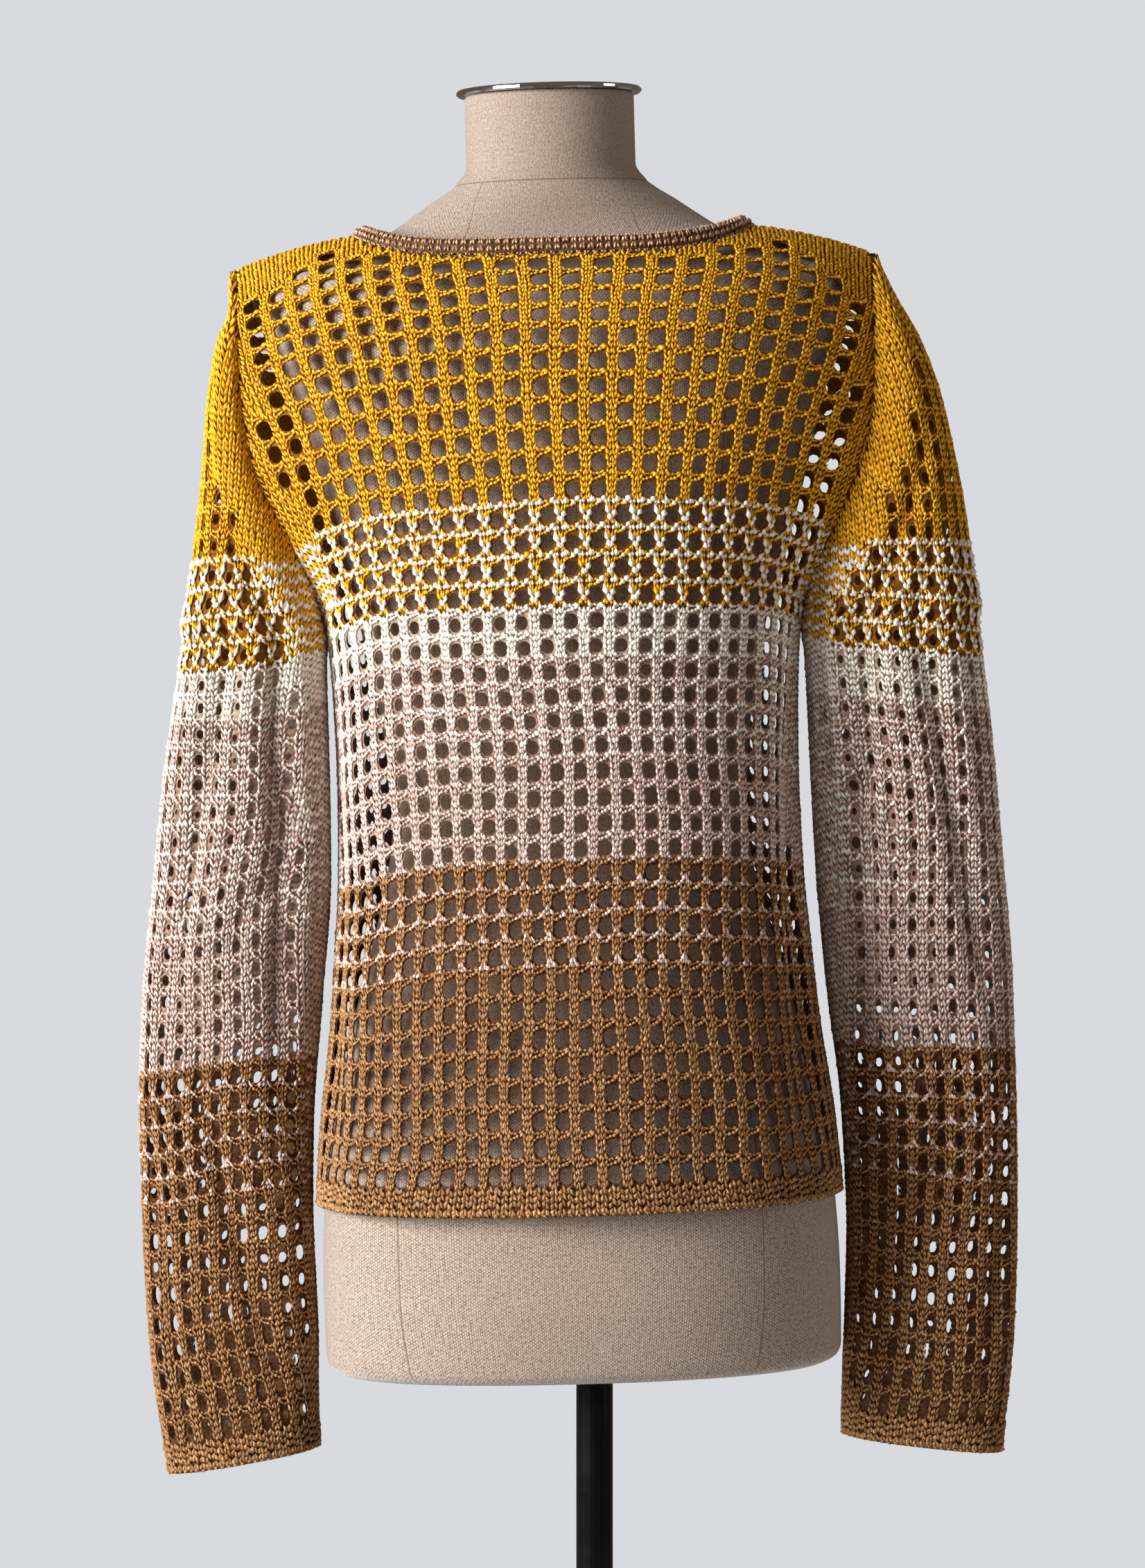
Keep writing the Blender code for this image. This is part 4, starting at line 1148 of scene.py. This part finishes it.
# %% The linen's group
def make_linen_group():
    """Plain weave over a map in metres, with uneven threads."""
    group, given, made = new_group(
        "plain_weave",
        {
            "Vector": (0, 0, 0), "Warp Threads": 855.0, "Weft Threads": 1120.0,
            "Colour": (0.5, 0.4, 0.3, 1), "Shade": (0.2, 0.15, 0.1, 1),
        },
        FINISH,
    )
    vector = given["Vector"]
    across, up = parts_of(group, vector)[:2]
    warp, weft = [
        math_node(group, "MULTIPLY", along, math_node(group, "MULTIPLY", given[count], math.pi))
        for along, count in ((across, "Warp Threads"), (up, "Weft Threads"))
    ]
    warp = math_node(group, "MULTIPLY_ADD", noise(group, vector, 90.0), 5.0, warp)
    warp = math_node(group, "SINE", warp)
    over = math_node(group, "MULTIPLY", warp, math_node(group, "SINE", weft))
    high = math_node(group, "MULTIPLY", math_node(group, "ABSOLUTE", warp), 0.45)
    over = math_node(group, "MULTIPLY_ADD", over, 0.35, high)
    slub = noise(group, scaled(group, vector, 900.0, 70.0), 1.0)
    grain = math_node(group, "MULTIPLY_ADD", noise(group, vector, 620.0), 1.5, -0.75)
    tone = math_node(group, "MULTIPLY_ADD", slub, 0.5, math_node(group, "ADD", over, grain), clamp=True)
    colour = mix_colour(group, tone, given["Shade"], given["Colour"])
    rough = math_node(group, "MULTIPLY_ADD", tone, -0.1, 0.92)
    fill(group, made, {"Colour": colour, "Roughness": rough, "Height": over})
    return group


LINEN_GROUP = make_linen_group()
print("node group:", LINEN_GROUP.name)

# %% Materials of yarn
# Painted shade: the ground sheet takes its yarn's colour times these, deep outside between the legs,
# fainter on the inside.
DEEP_GAP_SHADE = (0.22, 0.15, 0.11)
FAINT_GAP_SHADE = (0.42, 0.34, 0.28)
INSIDE_SHADE = (0.75, 0.68, 0.62)
Yarn = namedtuple("Yarn", "name colour shade fleck_colour fleck gaps")
YARNS = (
    Yarn("mustard_yarn", (1.0, 0.565, 0.012), (0.52, 0.17, 0.001), (1.0, 0.80, 0.20), 0.30, DEEP_GAP_SHADE),
    Yarn("white_yarn", (0.93, 0.87, 0.785), (0.79, 0.67, 0.54), (0.98, 0.94, 0.89), 0.30, FAINT_GAP_SHADE),
    Yarn("beige_yarn", (0.73, 0.54, 0.465), (0.40, 0.25, 0.195), (0.95, 0.85, 0.79), 0.60, FAINT_GAP_SHADE),
    Yarn("brown_yarn", (0.46, 0.228, 0.084), (0.12, 0.043, 0.012), (0.78, 0.52, 0.29), 0.45, DEEP_GAP_SHADE),
    Yarn("trim_yarn", (0.77, 0.455, 0.245), (0.095, 0.034, 0.012), (0.98, 0.78, 0.54), 0.60, DEEP_GAP_SHADE),
)


def shader_of(name):
    """A new material with its Principled shader."""
    material = bpy.data.materials.new(name)
    material.use_nodes = True
    return material, material.node_tree, material.node_tree.nodes["Principled BSDF"]


def texture_map(tree, name):
    """The vector of one of the mesh's texture maps."""
    node = tree.nodes.new("ShaderNodeUVMap")
    node.uv_map = name
    return node.outputs[0]


def add_bump(tree, shader, height, strength, distance):
    """A bump from a height, into the shader."""
    bump = tree.nodes.new("ShaderNodeBump")
    fill(tree, bump, {"Strength": strength, "Distance": distance, "Height": height})
    fill(tree, shader, {"Normal": bump.outputs[0]})


def yarn_material(yarn, ground=False):
    """One colour of yarn. On the ground sheet the colour is darkened as painted shade, deep outside and
    fainter inside.
    """
    material, tree, shader = shader_of(yarn.name + ("_ground" if ground else ""))
    plied = use_group(tree, YARN_GROUP, {
        "Vector": texture_map(tree, "yarn"), "Colour": (*yarn.colour, 1), "Shade": (*yarn.shade, 1),
        "Fleck Colour": (*yarn.fleck_colour, 1), "Fleck": yarn.fleck,
    })
    colour = plied["Colour"]
    if ground:
        # Painted shade on the ground sheet, deeper on the outside than on the inside.
        inside = tree.nodes.new("ShaderNodeNewGeometry").outputs["Backfacing"]
        gaps = mix_colour(tree, inside, (*yarn.gaps, 1), (*INSIDE_SHADE, 1))
        colour = mix_colour(tree, 1.0, colour, gaps, "MULTIPLY")
    fill(tree, shader, {
        "Base Color": colour, "Roughness": plied["Roughness"], "Specular IOR Level": 0.15,
    })
    add_bump(tree, shader, plied["Height"], 0.5, 0.0004)
    return material


YARN_MATERIALS = [yarn_material(yarn) for yarn in YARNS]
GROUND_MATERIALS = [yarn_material(yarn, True) for yarn in YARNS]
print("yarns:", [yarn.name for yarn in YARNS])

# %% [markdown]
# Knitting a panel. The ground is the sheet of cloth, with the stitches as separate pieces on it, and
# its area and flat size are worked out. The legs are split into pieces of a sensible size.

# %% Knitting a panel
MOST_LEGS = 24000
SLIVER = 2e-8
MAP_MARGIN = 0.01


def knit_ground(name, panel, gauge, cells, mirror):
    """The ground of one panel. It gives the piece, its area and its flat width and length."""
    counted, faces = weld(*net_ground(gauge, cells, len(cells.c)))
    across, v = settle(panel, gauge, counted[:, 0], counted[:, 1])
    points = panel.surface.place(across, v, np.zeros_like(v))
    faces = faces[surface_area(points, faces) > SLIVER]
    if panel.surface is FRONT:
        faces = faces[:, ::-1]
    if mirror:
        points, faces = points * MIRROR, faces[:, ::-1]
    used, back = np.unique(faces, return_inverse=True)
    faces = back.reshape(faces.shape)
    points, counted = points[used], counted[used]
    row = np.floor(counted[faces].mean(axis=1)[:, 1] + 1e-6).astype(int)
    slots = gauge.bands[np.clip(row, 0, len(gauge.bands) - 1)][:, 1]
    low = counted.min(axis=0)
    size = (counted.max(axis=0) - low).max() * (1 + 2 * MAP_MARGIN)
    places = (counted - low) / size + MAP_MARGIN
    maps = {"OFBake": places[faces], "yarn": counted[faces] * np.array([2.0, 4.0])}
    piece = mesh_object(name + "_ground", tilted(points), faces, GROUND_MATERIALS, slots, maps)
    return piece, float(surface_area(points, faces).sum()), (float(np.ptp(across)), float(np.ptp(v)))


def knit_stitches(name, panel, gauge, cells, mirror, seed):
    """The stitches of one panel, in pieces from the left to the right."""
    legs = keep_inside(panel, gauge, leg_table(gauge, cells, seed))
    legs = legs[np.argsort(legs[:, 2], kind="stable")]
    points = leg_points(panel, gauge, legs)
    parts = math.ceil(len(legs) / MOST_LEGS)
    pieces = []
    for k in range(parts):
        chosen = slice(k * len(legs) // parts, (k + 1) * len(legs) // parts)
        title = name + "_stitches" + ("" if parts == 1 else ("_low", "_high")[k])
        yarns = legs[chosen, 7]
        pieces.append(knit_legs(title, points[chosen], yarns, YARN_MATERIALS, seed + k, mirror))
    print(name, "has", len(legs), "legs of yarn in", parts, "pieces")
    return pieces


def knit_panel(name, panel, gauge, columns, mirror, seed):
    """Ground and stitches of one panel, riding on the root."""
    cells = find_cells(panel, gauge, columns)
    ground, area, flat = knit_ground(name, panel, gauge, cells, mirror)
    stitches = knit_stitches(name, panel, gauge, cells, mirror, seed)
    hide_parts(name)
    for piece in [ground, *stitches]:
        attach(piece, "root")
    return ground, stitches, area, flat


PANELS = {
    "back": knit_panel("back", back_panel, body_gauge, 18, False, 11),
    "front_right": knit_panel("front_right", front_panel, body_gauge, 18, False, 21),
    "front_left": knit_panel("front_left", front_left_panel, body_gauge, 18, True, 31),
}
for side, mirror, seed in (("right", False, 41), ("left", True, 51)):
    name, gauge = "sleeve_" + side, sleeve_gauge(SLEEVES[side][0].height, seed)
    PANELS[name] = knit_panel(name, sleeve_panel(side), gauge, 16, mirror, seed)
for name, (ground, stitches, area, flat) in PANELS.items():
    print(name, "area", round(area, 4), "m2, flat", [round(n, 3) for n in flat])

# %% [markdown]
# The trims. The neckband is a narrow strip that rolls on itself, so it is a solid roll covered in
# small purl knots, and the roll is darkened as painted shade between the knots. The front bands are
# made the same way, but flatter.

# %% Paths of the trims
NECKBAND_HALF_HEIGHT = 0.0062
NECKBAND_HALF_DEPTH = 0.0038
NECKBAND_LEAN_BACK = math.radians(18)
NECKBAND_LEAN_SIDE = math.radians(60)
NECKBAND_EASE = 0.0012
NECKBAND_DROP = 0.0022
KNOT_STEP = 0.0049


def body_point(face, share, level):
    """One point of the body's cloth on the wearer's right."""
    return body_row(face, np.array([share]), level)[0][0]


def neck_level(face, share):
    """The level at which a column of the cloth ends."""
    curve, along = section(face, SPRING)
    x = min(float(np.interp(share * along[-1], along, curve[:, 0])) / NECK_HALF, 1.0)
    return TOP - NECK_DROP[face] * (1 - x ** NECK_POWER[face]) ** 0.5


def neckline(steps):
    """Points along the neck edge, from the left front edge round the back to the right one."""
    curve, along = section("back", SPRING)
    point = np.interp(NECK_HALF, curve[:, 0], along) / along[-1]
    shares = point * np.sin(np.linspace(0, math.pi / 2, steps))
    start = float(opening_edge(SPRING)) / section("front", SPRING)[1][-1]
    front = [max(share, start) for share in shares]
    half = [body_point("front", share, neck_level("front", share)) for share in front]
    half += [body_point("back", share, neck_level("back", share)) for share in shares[-2::-1]]
    right = np.array(half)
    left = right[:-1] * MIRROR
    line = np.concatenate([left, right[::-1]])
    apart = np.concatenate([[True], np.linalg.norm(np.diff(line, axis=0), axis=1) > 1e-5])
    return line[apart]


def even(path, step):
    """A path with points at an even step."""
    along = lengths(path)
    want = np.linspace(0, along[-1], max(int(along[-1] / step), 8))
    return np.stack([np.interp(want, along, path[:, k]) for k in range(3)], axis=1)


def neckband_path():
    """The roll's middle line and its upward axis at each point."""
    line = even(neckline(24), KNOT_STEP)
    inward = -line * np.array([1, 1, 0])
    inward /= np.linalg.norm(inward, axis=1, keepdims=True)
    aside = (np.abs(line[:, :1]) / NECK_HALF) ** 4
    lean = NECKBAND_LEAN_BACK + (NECKBAND_LEAN_SIDE - NECKBAND_LEAN_BACK) * aside
    ups = inward * np.sin(lean) + np.array([0, 0, 1]) * np.cos(lean)
    return line + ups * (NECKBAND_HALF_HEIGHT + NECKBAND_EASE - NECKBAND_DROP), ups


def band_path():
    """The right front band's middle line and its axis across."""
    levels = np.linspace(HEM, neck_level("front", 0.03), 90)
    points = []
    for level in levels:
        edge = float(opening_edge(level))
        point = body_point("front", edge / section("front", level)[1][-1], level)
        points.append(point - np.array([FRONT_BAND_HALF_WIDTH + SEAM_GAP, 0, 0]))
    path = even(np.array(points), KNOT_STEP)
    return path, np.tile(np.array([1.0, 0, 0]), (len(path), 1))


neck_path, neck_ups = neckband_path()
front_path, front_ups = band_path()
print("the neckband is", round(float(lengths(neck_path)[-1]), 3), "m long")

# %% Making the trims
TRIM_SIDES = 12
TRIM_SHRINK = 0.0014
KNOT_HALF = 0.00090
KNOT_ENDS = ((0.27, -0.42, 0.0), (0.08, 0.36, 0.0012))


def trim_frames(path, ups):
    """Up and aside axes along a path."""
    tangent = np.gradient(path, axis=0)
    tangent /= np.linalg.norm(tangent, axis=1, keepdims=True)
    up = ups - tangent * np.sum(ups * tangent, axis=1, keepdims=True)
    up /= np.linalg.norm(up, axis=1, keepdims=True)
    return up, np.cross(tangent, up)


def trim_core(path, ups, half_high, half_deep):
    """Points and faces of the roll under the stitches."""
    up, aside = trim_frames(path, ups)
    angle = 2 * math.pi * np.arange(TRIM_SIDES) / TRIM_SIDES
    ring = up[:, None] * (half_high * np.sin(angle))[None, :, None]
    ring = ring + aside[:, None] * (half_deep * np.cos(angle))[None, :, None]
    points = np.concatenate([(path[:, None] + ring).reshape(-1, 3), path[:1], path[-1:]])
    return points, loft_faces(len(path), TRIM_SIDES, False)


def trim_legs(path, ups, half_high, half_deep, rows, seed):
    """Purl knots round a roll: pairs of legs that lean together, in rows half a knot apart."""
    draw = np.random.default_rng(seed)
    up, aside = trim_frames(path, ups)
    row_turn = 2 * math.pi / rows
    found = []
    for row in range(rows):
        base = np.arange(len(path) - 2) + 0.5 * (row % 2) + 0.5
        for side in (-1, 1):
            ends, normals = [], []
            for away, turn, rise in KNOT_ENDS:
                along = base + side * away + draw.normal(0, 0.04, len(base))
                along = np.clip(along, 0, len(path) - 1.001)
                i = along.astype(int)
                f = (along - i)[:, None]
                turned = turn + draw.normal(0, 0.06, len(base))
                angle = (row_turn * (row + 0.5) + turned * row_turn)[:, None]
                out = up[i] * half_high * np.sin(angle) + aside[i] * half_deep * np.cos(angle)
                normal = up[i] * half_deep * np.sin(angle) + aside[i] * half_high * np.cos(angle)
                normal /= np.linalg.norm(normal, axis=1, keepdims=True)
                ends.append(path[i] * (1 - f) + path[i + 1] * f + out + normal * rise)
                normals.append(normal)
            thick = KNOT_HALF * np.exp(draw.normal(0, 0.14, len(base)))
            normal = normals[0] + normals[1]
            normal /= np.linalg.norm(normal, axis=1, keepdims=True)
            found.append(grains(*ends, normal, thick, thick * 0.85))
    return np.concatenate(found)


def make_trim(node, path, ups, half_high, half_deep, rows, mirror, seed):
    """The roll and its stitches, in place of one node."""
    half_high, half_deep = half_high - TRIM_SHRINK, half_deep - TRIM_SHRINK
    points, faces = trim_core(path, ups, half_high, half_deep)
    if mirror:
        points, faces = points * MIRROR, faces[:, ::-1]
    k = np.repeat(np.arange(len(faces))[:, None], 3, axis=1)
    yarn = np.stack([k % 64 / 64 * 8, k // 64 / 8], axis=2)
    # Painted shade: the roll takes the trim yarn's ground finish, darkened as the shade between the
    # knots.
    dark = [GROUND_MATERIALS[TRIM]]
    core = mesh_object(node + "_roll", tilted(points), faces, dark, None, {"yarn": yarn})
    legs = trim_legs(path, ups, half_high, half_deep, rows, seed)
    yarns = np.zeros(len(legs))
    stitches = knit_legs(node + "_stitches", legs, yarns, [YARN_MATERIALS[TRIM]], seed, mirror)
    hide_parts(node)
    for piece in (core, stitches):
        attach(piece, "root")
    return [core, stitches]


FRONT_BAND = (front_path, front_ups, FRONT_BAND_HALF_WIDTH, FRONT_BAND_HALF_DEPTH, 8)
TRIMS = {
    "neckband": make_trim(
        "neckband", neck_path, neck_ups, NECKBAND_HALF_HEIGHT, NECKBAND_HALF_DEPTH, 7, False, 61
    ),
    "front_band_right": make_trim("front_band_right", *FRONT_BAND, False, 71),
    "front_band_left": make_trim("front_band_left", *FRONT_BAND, True, 81),
}
added = sum(len(piece.data.polygons) for _, stitches, _, _ in PANELS.values() for piece in stitches)
print("faces of the stitches:", added)

# %% The sheets of cloth
print("sheets declared:", list(PANELS))

# %% [markdown]
# The form under the cardigan is padded and covered in linen. Its solid is faceted, so a finer cover is
# lofted through the same sections, with a seam round the neck and long seams down the panels.

# %% The dress form's cover
FORM_POWER = 2.3
NECK_RADIUS = 0.0496
NECK_TOP = 0.7460
NECK_START = 0.676
NECK_FORWARD = 0.005
FORM_AROUND = 128
NECK_SEAM = 0.694
SEAM_DEPTH, SEAM_HALF = 0.0006, 0.0012
PRINCESS_SEAM = 0.094
TOP_ROUNDING = 0.0012
CLOTH_RADIUS = 0.105
# Painted shade: the linen's colour is multiplied by this where the cardigan covers the form.
PAINTED_SHADE_UNDER_CLOTH = (0.66, 0.52, 0.43, 1)
FormRow = namedtuple("FormRow", "height half_width back front")
FORM = [FormRow(*row) for row in (
    (0.0, 0.1415, 0.090, 0.086),
    (0.003, 0.1485, 0.097, 0.093),
    (0.010, 0.1515, 0.100, 0.096),
    (0.050, 0.1520, 0.107, 0.098),
    (0.100, 0.1500, 0.108, 0.098),
    (0.170, 0.1385, 0.100, 0.094),
    (0.210, 0.1290, 0.091, 0.090),
    (0.250, 0.1180, 0.082, 0.087),
    (0.285, 0.1090, 0.073, 0.083),
    (0.320, 0.1040, 0.068, 0.081),
    (0.360, 0.1060, 0.071, 0.084),
    (0.400, 0.1120, 0.078, 0.091),
    (0.440, 0.1200, 0.084, 0.102),
    (0.480, 0.1330, 0.088, 0.113),
    (0.520, 0.1440, 0.091, 0.116),
    (0.560, 0.1540, 0.092, 0.108),
    (0.595, 0.1650, 0.091, 0.090),
    (0.620, 0.1745, 0.085, 0.077),
    (0.6367, 0.1785, 0.074, 0.066),
    (0.6442, 0.1735, 0.063, 0.056),
    (0.6512, 0.1550, 0.054, 0.050),
    (0.6568, 0.1340, 0.048, 0.0450),
    (0.6606, 0.1130, 0.045, 0.0450),
    (0.6670, 0.0970, 0.0440, 0.048),
    (0.6740, 0.0860, 0.0440, 0.0505),
    (0.6830, 0.0730, 0.0445, 0.0530),
    (0.6935, 0.0575, 0.0446, 0.0543),
    (0.7050, NECK_RADIUS, NECK_RADIUS - NECK_FORWARD, NECK_RADIUS + NECK_FORWARD),
    (NECK_TOP, NECK_RADIUS, NECK_RADIUS - NECK_FORWARD, NECK_RADIUS + NECK_FORWARD),
)]


def form_heights():
    """Heights of the cover's rings: close together where the form bends quickly."""
    low = np.linspace(0.0, 0.012, 7)
    middle = np.linspace(0.02, 0.62, 76)
    high = np.linspace(0.624, 0.742, 60)
    return np.concatenate([low, middle, high, [0.7445, NECK_TOP]])


def form_ring(height, rounding):
    """One ring of the cover."""
    power = 2 / float(np.interp(height, [NECK_START - 0.02, NECK_START], [FORM_POWER, 2.0]))
    a = 2 * math.pi * np.arange(FORM_AROUND) / FORM_AROUND - math.pi / 2
    c, s = np.cos(a), np.sin(a)
    wide = float(read(FORM, "half_width", height)) - rounding
    front = float(read(FORM, "front", height)) - rounding
    back = float(read(FORM, "back", height)) - rounding
    depth = np.where(s > 0, front, back)
    x = wide * np.sign(c) * np.abs(c) ** power
    y = depth * np.sign(s) * np.abs(s) ** power
    seam = SEAM_DEPTH * math.exp(-(((height - NECK_SEAM) / SEAM_HALF) ** 2))
    length = np.hypot(x, y)
    x, y = x * (1 - seam / length), y * (1 - seam / length)
    return np.stack([x, y, np.full_like(x, height)], axis=1)


def make_form():
    """The linen cover, closed at both ends."""
    heights = form_heights()
    rings = [form_ring(h, TOP_ROUNDING if h == NECK_TOP else 0.0) for h in heights]
    points = np.concatenate(rings + [np.array([[0, 0, 0.0], [0, NECK_FORWARD, NECK_TOP]])])
    faces = loft_faces(len(heights), FORM_AROUND, True)
    corner = points[faces]
    angle = np.arctan2(corner[..., 0], -corner[..., 1])
    middle = angle[:, :1]
    angle = np.where(angle - middle > math.pi, angle - 2 * math.pi, angle)
    angle = np.where(angle - middle < -math.pi, angle + 2 * math.pi, angle)
    flat = np.abs(corner[..., 2] - corner[:, :1, 2]).max(axis=1) < 1e-6
    places = np.stack([angle * CLOTH_RADIUS, corner[..., 2]], axis=2)
    places[flat] = corner[flat][..., :2]
    materials, maps = [linen_material()], {"cloth": places}
    piece = mesh_object("linen_cover", tilted(points), faces, materials, None, maps)
    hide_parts("torso_form")
    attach(piece, "root")
    return piece


def linen_material():
    """Undyed linen with dark stitching round the neck and down the panels, and painted shade under the
    cloth.
    """
    material, tree, shader = shader_of("form_linen_weave")
    cloth = texture_map(tree, "cloth")
    woven = use_group(tree, LINEN_GROUP, {
        "Vector": cloth, "Colour": (0.520, 0.402, 0.318, 1), "Shade": (0.120, 0.074, 0.048, 1),
    })
    around, high = parts_of(tree, cloth)[:2]
    neck = math_node(tree, "ABSOLUTE", math_node(tree, "SUBTRACT", high, NECK_SEAM))
    neck = math_node(tree, "LESS_THAN", neck, 0.0004)
    side = math_node(tree, "ABSOLUTE", around)
    side = math_node(tree, "ABSOLUTE", math_node(tree, "SUBTRACT", side, PRINCESS_SEAM))
    side = math_node(tree, "LESS_THAN", side, 0.00035)
    below = math_node(tree, "LESS_THAN", high, NECK_SEAM)
    seams = math_node(tree, "MAXIMUM", neck, math_node(tree, "MULTIPLY", side, below))
    seams = math_node(tree, "MULTIPLY", seams, 0.7)
    colour = mix_colour(tree, seams, woven["Colour"], (0.130, 0.075, 0.050, 1))
    # Painted shade: the linen darkens from just above the hem up to the chest, where the cardigan hangs
    # over it.
    covered = stretched(tree, high, 0.10, 0.16)
    covered = math_node(tree, "MULTIPLY", covered, stretched(tree, high, 0.60, 0.46))
    shade = mix_colour(tree, covered, (1, 1, 1, 1), PAINTED_SHADE_UNDER_CLOTH)
    fill(tree, shader, {
        "Base Color": mix_colour(tree, 1.0, colour, shade, "MULTIPLY"),
        "Roughness": woven["Roughness"], "Specular IOR Level": 0.3, "Sheen Weight": 0.5,
    })
    height = math_node(tree, "SUBTRACT", woven["Height"], math_node(tree, "MULTIPLY", seams, 2.0))
    add_bump(tree, shader, height, 0.6, 0.0003)
    return material


form = make_form()
print("linen cover:", len(form.data.polygons), "faces")

# %% [markdown]
# The metal. The neck plate is polished chrome, a mirror with faint smudges. The pole and base are
# lacquered nearly black, with a red-brown depth. Both share one group for dust and fine scratches.

# %% The metal's group and finishes
def make_wear_group():
    """Faint smudges and scratches for hard surfaces."""
    inputs = {"Vector": (0, 0, 0), "Low": 0.1, "High": 0.3}
    outputs = {"Roughness": "NodeSocketFloat", "Mask": "NodeSocketFloat"}
    group, given, made = new_group("smudges", inputs, outputs)
    cloud = stretched(group, noise(group, given["Vector"], 30.0, 4.0), 0.40, 0.70)
    span = math_node(group, "SUBTRACT", given["High"], given["Low"])
    rough = math_node(group, "MULTIPLY_ADD", cloud, span, given["Low"])
    fill(group, made, {"Roughness": rough, "Mask": cloud})
    return group


WEAR_GROUP = make_wear_group()


def metal_material(name, clean, dull, low, high, **more):
    """A hard finish with smudges. dull is its colour where they lie."""
    material, tree, shader = shader_of(name)
    where = tree.nodes.new("ShaderNodeTexCoord").outputs["Object"]
    worn = use_group(tree, WEAR_GROUP, {"Vector": where, "Low": low, "High": high})
    colour = mix_colour(tree, worn["Mask"], (*clean, 1), (*dull, 1))
    fill(tree, shader, {"Base Color": colour, "Roughness": worn["Roughness"], **more})
    return material


def finish_stand():
    """Give the plate, pole and base their finish. Their solids stay."""
    lacquer = {"Specular IOR Level": 0.12, "Coat Weight": 0.06, "Coat Roughness": 0.15}
    finishes = {
        "neck_cap": metal_material(
            "chrome_plate", (0.62, 0.63, 0.65), (0.52, 0.53, 0.55), 0.06, 0.16, Metallic=1.0
        ),
        "pole": metal_material(
            "pole_lacquer", (0.002, 0.002, 0.003), (0.004, 0.004, 0.005), 0.22, 0.38, **lacquer
        ),
        "base_plate": metal_material(
            "base_lacquer", (0.022, 0.018, 0.016), (0.045, 0.040, 0.036), 0.28, 0.45
        ),
    }
    for node, material in finishes.items():
        for slot in bpy.data.objects[node].material_slots:
            slot.material = material


finish_stand()
print("stand finished")

# %% [markdown]
# The studio: a pale floor, a pale even backdrop from the world colour, a large soft light on the left
# and weak fill. The camera looks straight at the back of the garment, a little above its middle.

# %% Camera
SCALE = 0.000407
PICTURE_WIDE, PICTURE_HIGH = 1652, 2263
CENTRE_PIXEL, BOTTOM_PIXEL, HORIZON_PIXEL = 858, 1972, 845
CAMERA_AWAY = 3.5


def add_camera():
    """The camera, placed from the picture's scale: metres per pixel in the form's plane."""
    lens = bpy.data.cameras.new("camera")
    camera = bpy.data.objects.new("camera", lens)
    bpy.context.collection.objects.link(camera)
    eye = FORM_BOTTOM.z + (BOTTOM_PIXEL - HORIZON_PIXEL) * SCALE
    camera.location = ((PICTURE_WIDE / 2 - CENTRE_PIXEL) * SCALE, -CAMERA_AWAY, eye)
    down = (PICTURE_HIGH / 2 - HORIZON_PIXEL) * SCALE
    camera.rotation_euler = (math.pi / 2 - math.atan(down / CAMERA_AWAY), 0, 0)
    lens.sensor_fit = "VERTICAL"
    lens.sensor_height = 24
    lens.angle_y = 2 * math.atan(PICTURE_HIGH * SCALE / 2 / CAMERA_AWAY)
    bpy.context.scene.camera = camera
    return camera


camera = add_camera()
print("camera at", [round(n, 3) for n in camera.location])

# %% Floor, light and world
FLOOR_RADIUS, FLOOR_LEVEL, FLOOR_SIDES = 3.3, -0.0005, 64
FLOOR_COLOUR = (0.62, 0.63, 0.64, 1)
CHEST = (0.0, 0.0, 1.20)


def add_floor():
    """A pale round floor."""
    k = np.arange(FLOOR_SIDES)
    angle = 2 * math.pi * k / FLOOR_SIDES
    level = np.full(FLOOR_SIDES, FLOOR_LEVEL)
    rim = np.stack([FLOOR_RADIUS * np.cos(angle), FLOOR_RADIUS * np.sin(angle), level], axis=1)
    points = np.concatenate([rim, [[0, 0, FLOOR_LEVEL]]])
    faces = np.stack([k, (k + 1) % FLOOR_SIDES, np.full(FLOOR_SIDES, FLOOR_SIDES)], axis=1)
    material, tree, shader = shader_of("pale_floor")
    fill(tree, shader, {"Base Color": FLOOR_COLOUR, "Roughness": 0.8})
    floor = mesh_object("floor", points, faces, [material])
    return floor


def add_light(name, place, target, wide, high, power, colour):
    """A soft rectangular light that looks at a point."""
    data = bpy.data.lights.new(name, "AREA")
    data.shape = "RECTANGLE"
    data.size, data.size_y = wide, high
    data.energy = power
    data.color = colour
    light = bpy.data.objects.new(name, data)
    light.location = place
    light.rotation_euler = (Vector(target) - Vector(place)).to_track_quat("-Z", "Y").to_euler()
    bpy.context.collection.objects.link(light)
    return light


def add_world():
    """A pale grey backdrop that gives little light."""
    world = bpy.data.worlds.new("studio")
    world.use_nodes = True
    tree = world.node_tree
    seen = tree.nodes.new("ShaderNodeLightPath").outputs["Is Camera Ray"]
    colour = mix_colour(tree, seen, (0.150, 0.119, 0.095, 1), (0.690, 0.700, 0.725, 1))
    fill(tree, tree.nodes["Background"], {0: colour})
    bpy.context.scene.world = world


add_floor()
add_light("key", (-2.9, -1.7, 2.0), CHEST, 1.7, 2.0, 270, (0.955, 0.985, 1.0))
add_light("fill", (2.9, -0.5, 1.5), CHEST, 1.2, 1.8, 14, (1.0, 0.95, 0.90))
add_world()
bpy.context.scene.view_settings.view_transform = "Standard"
print("studio ready")
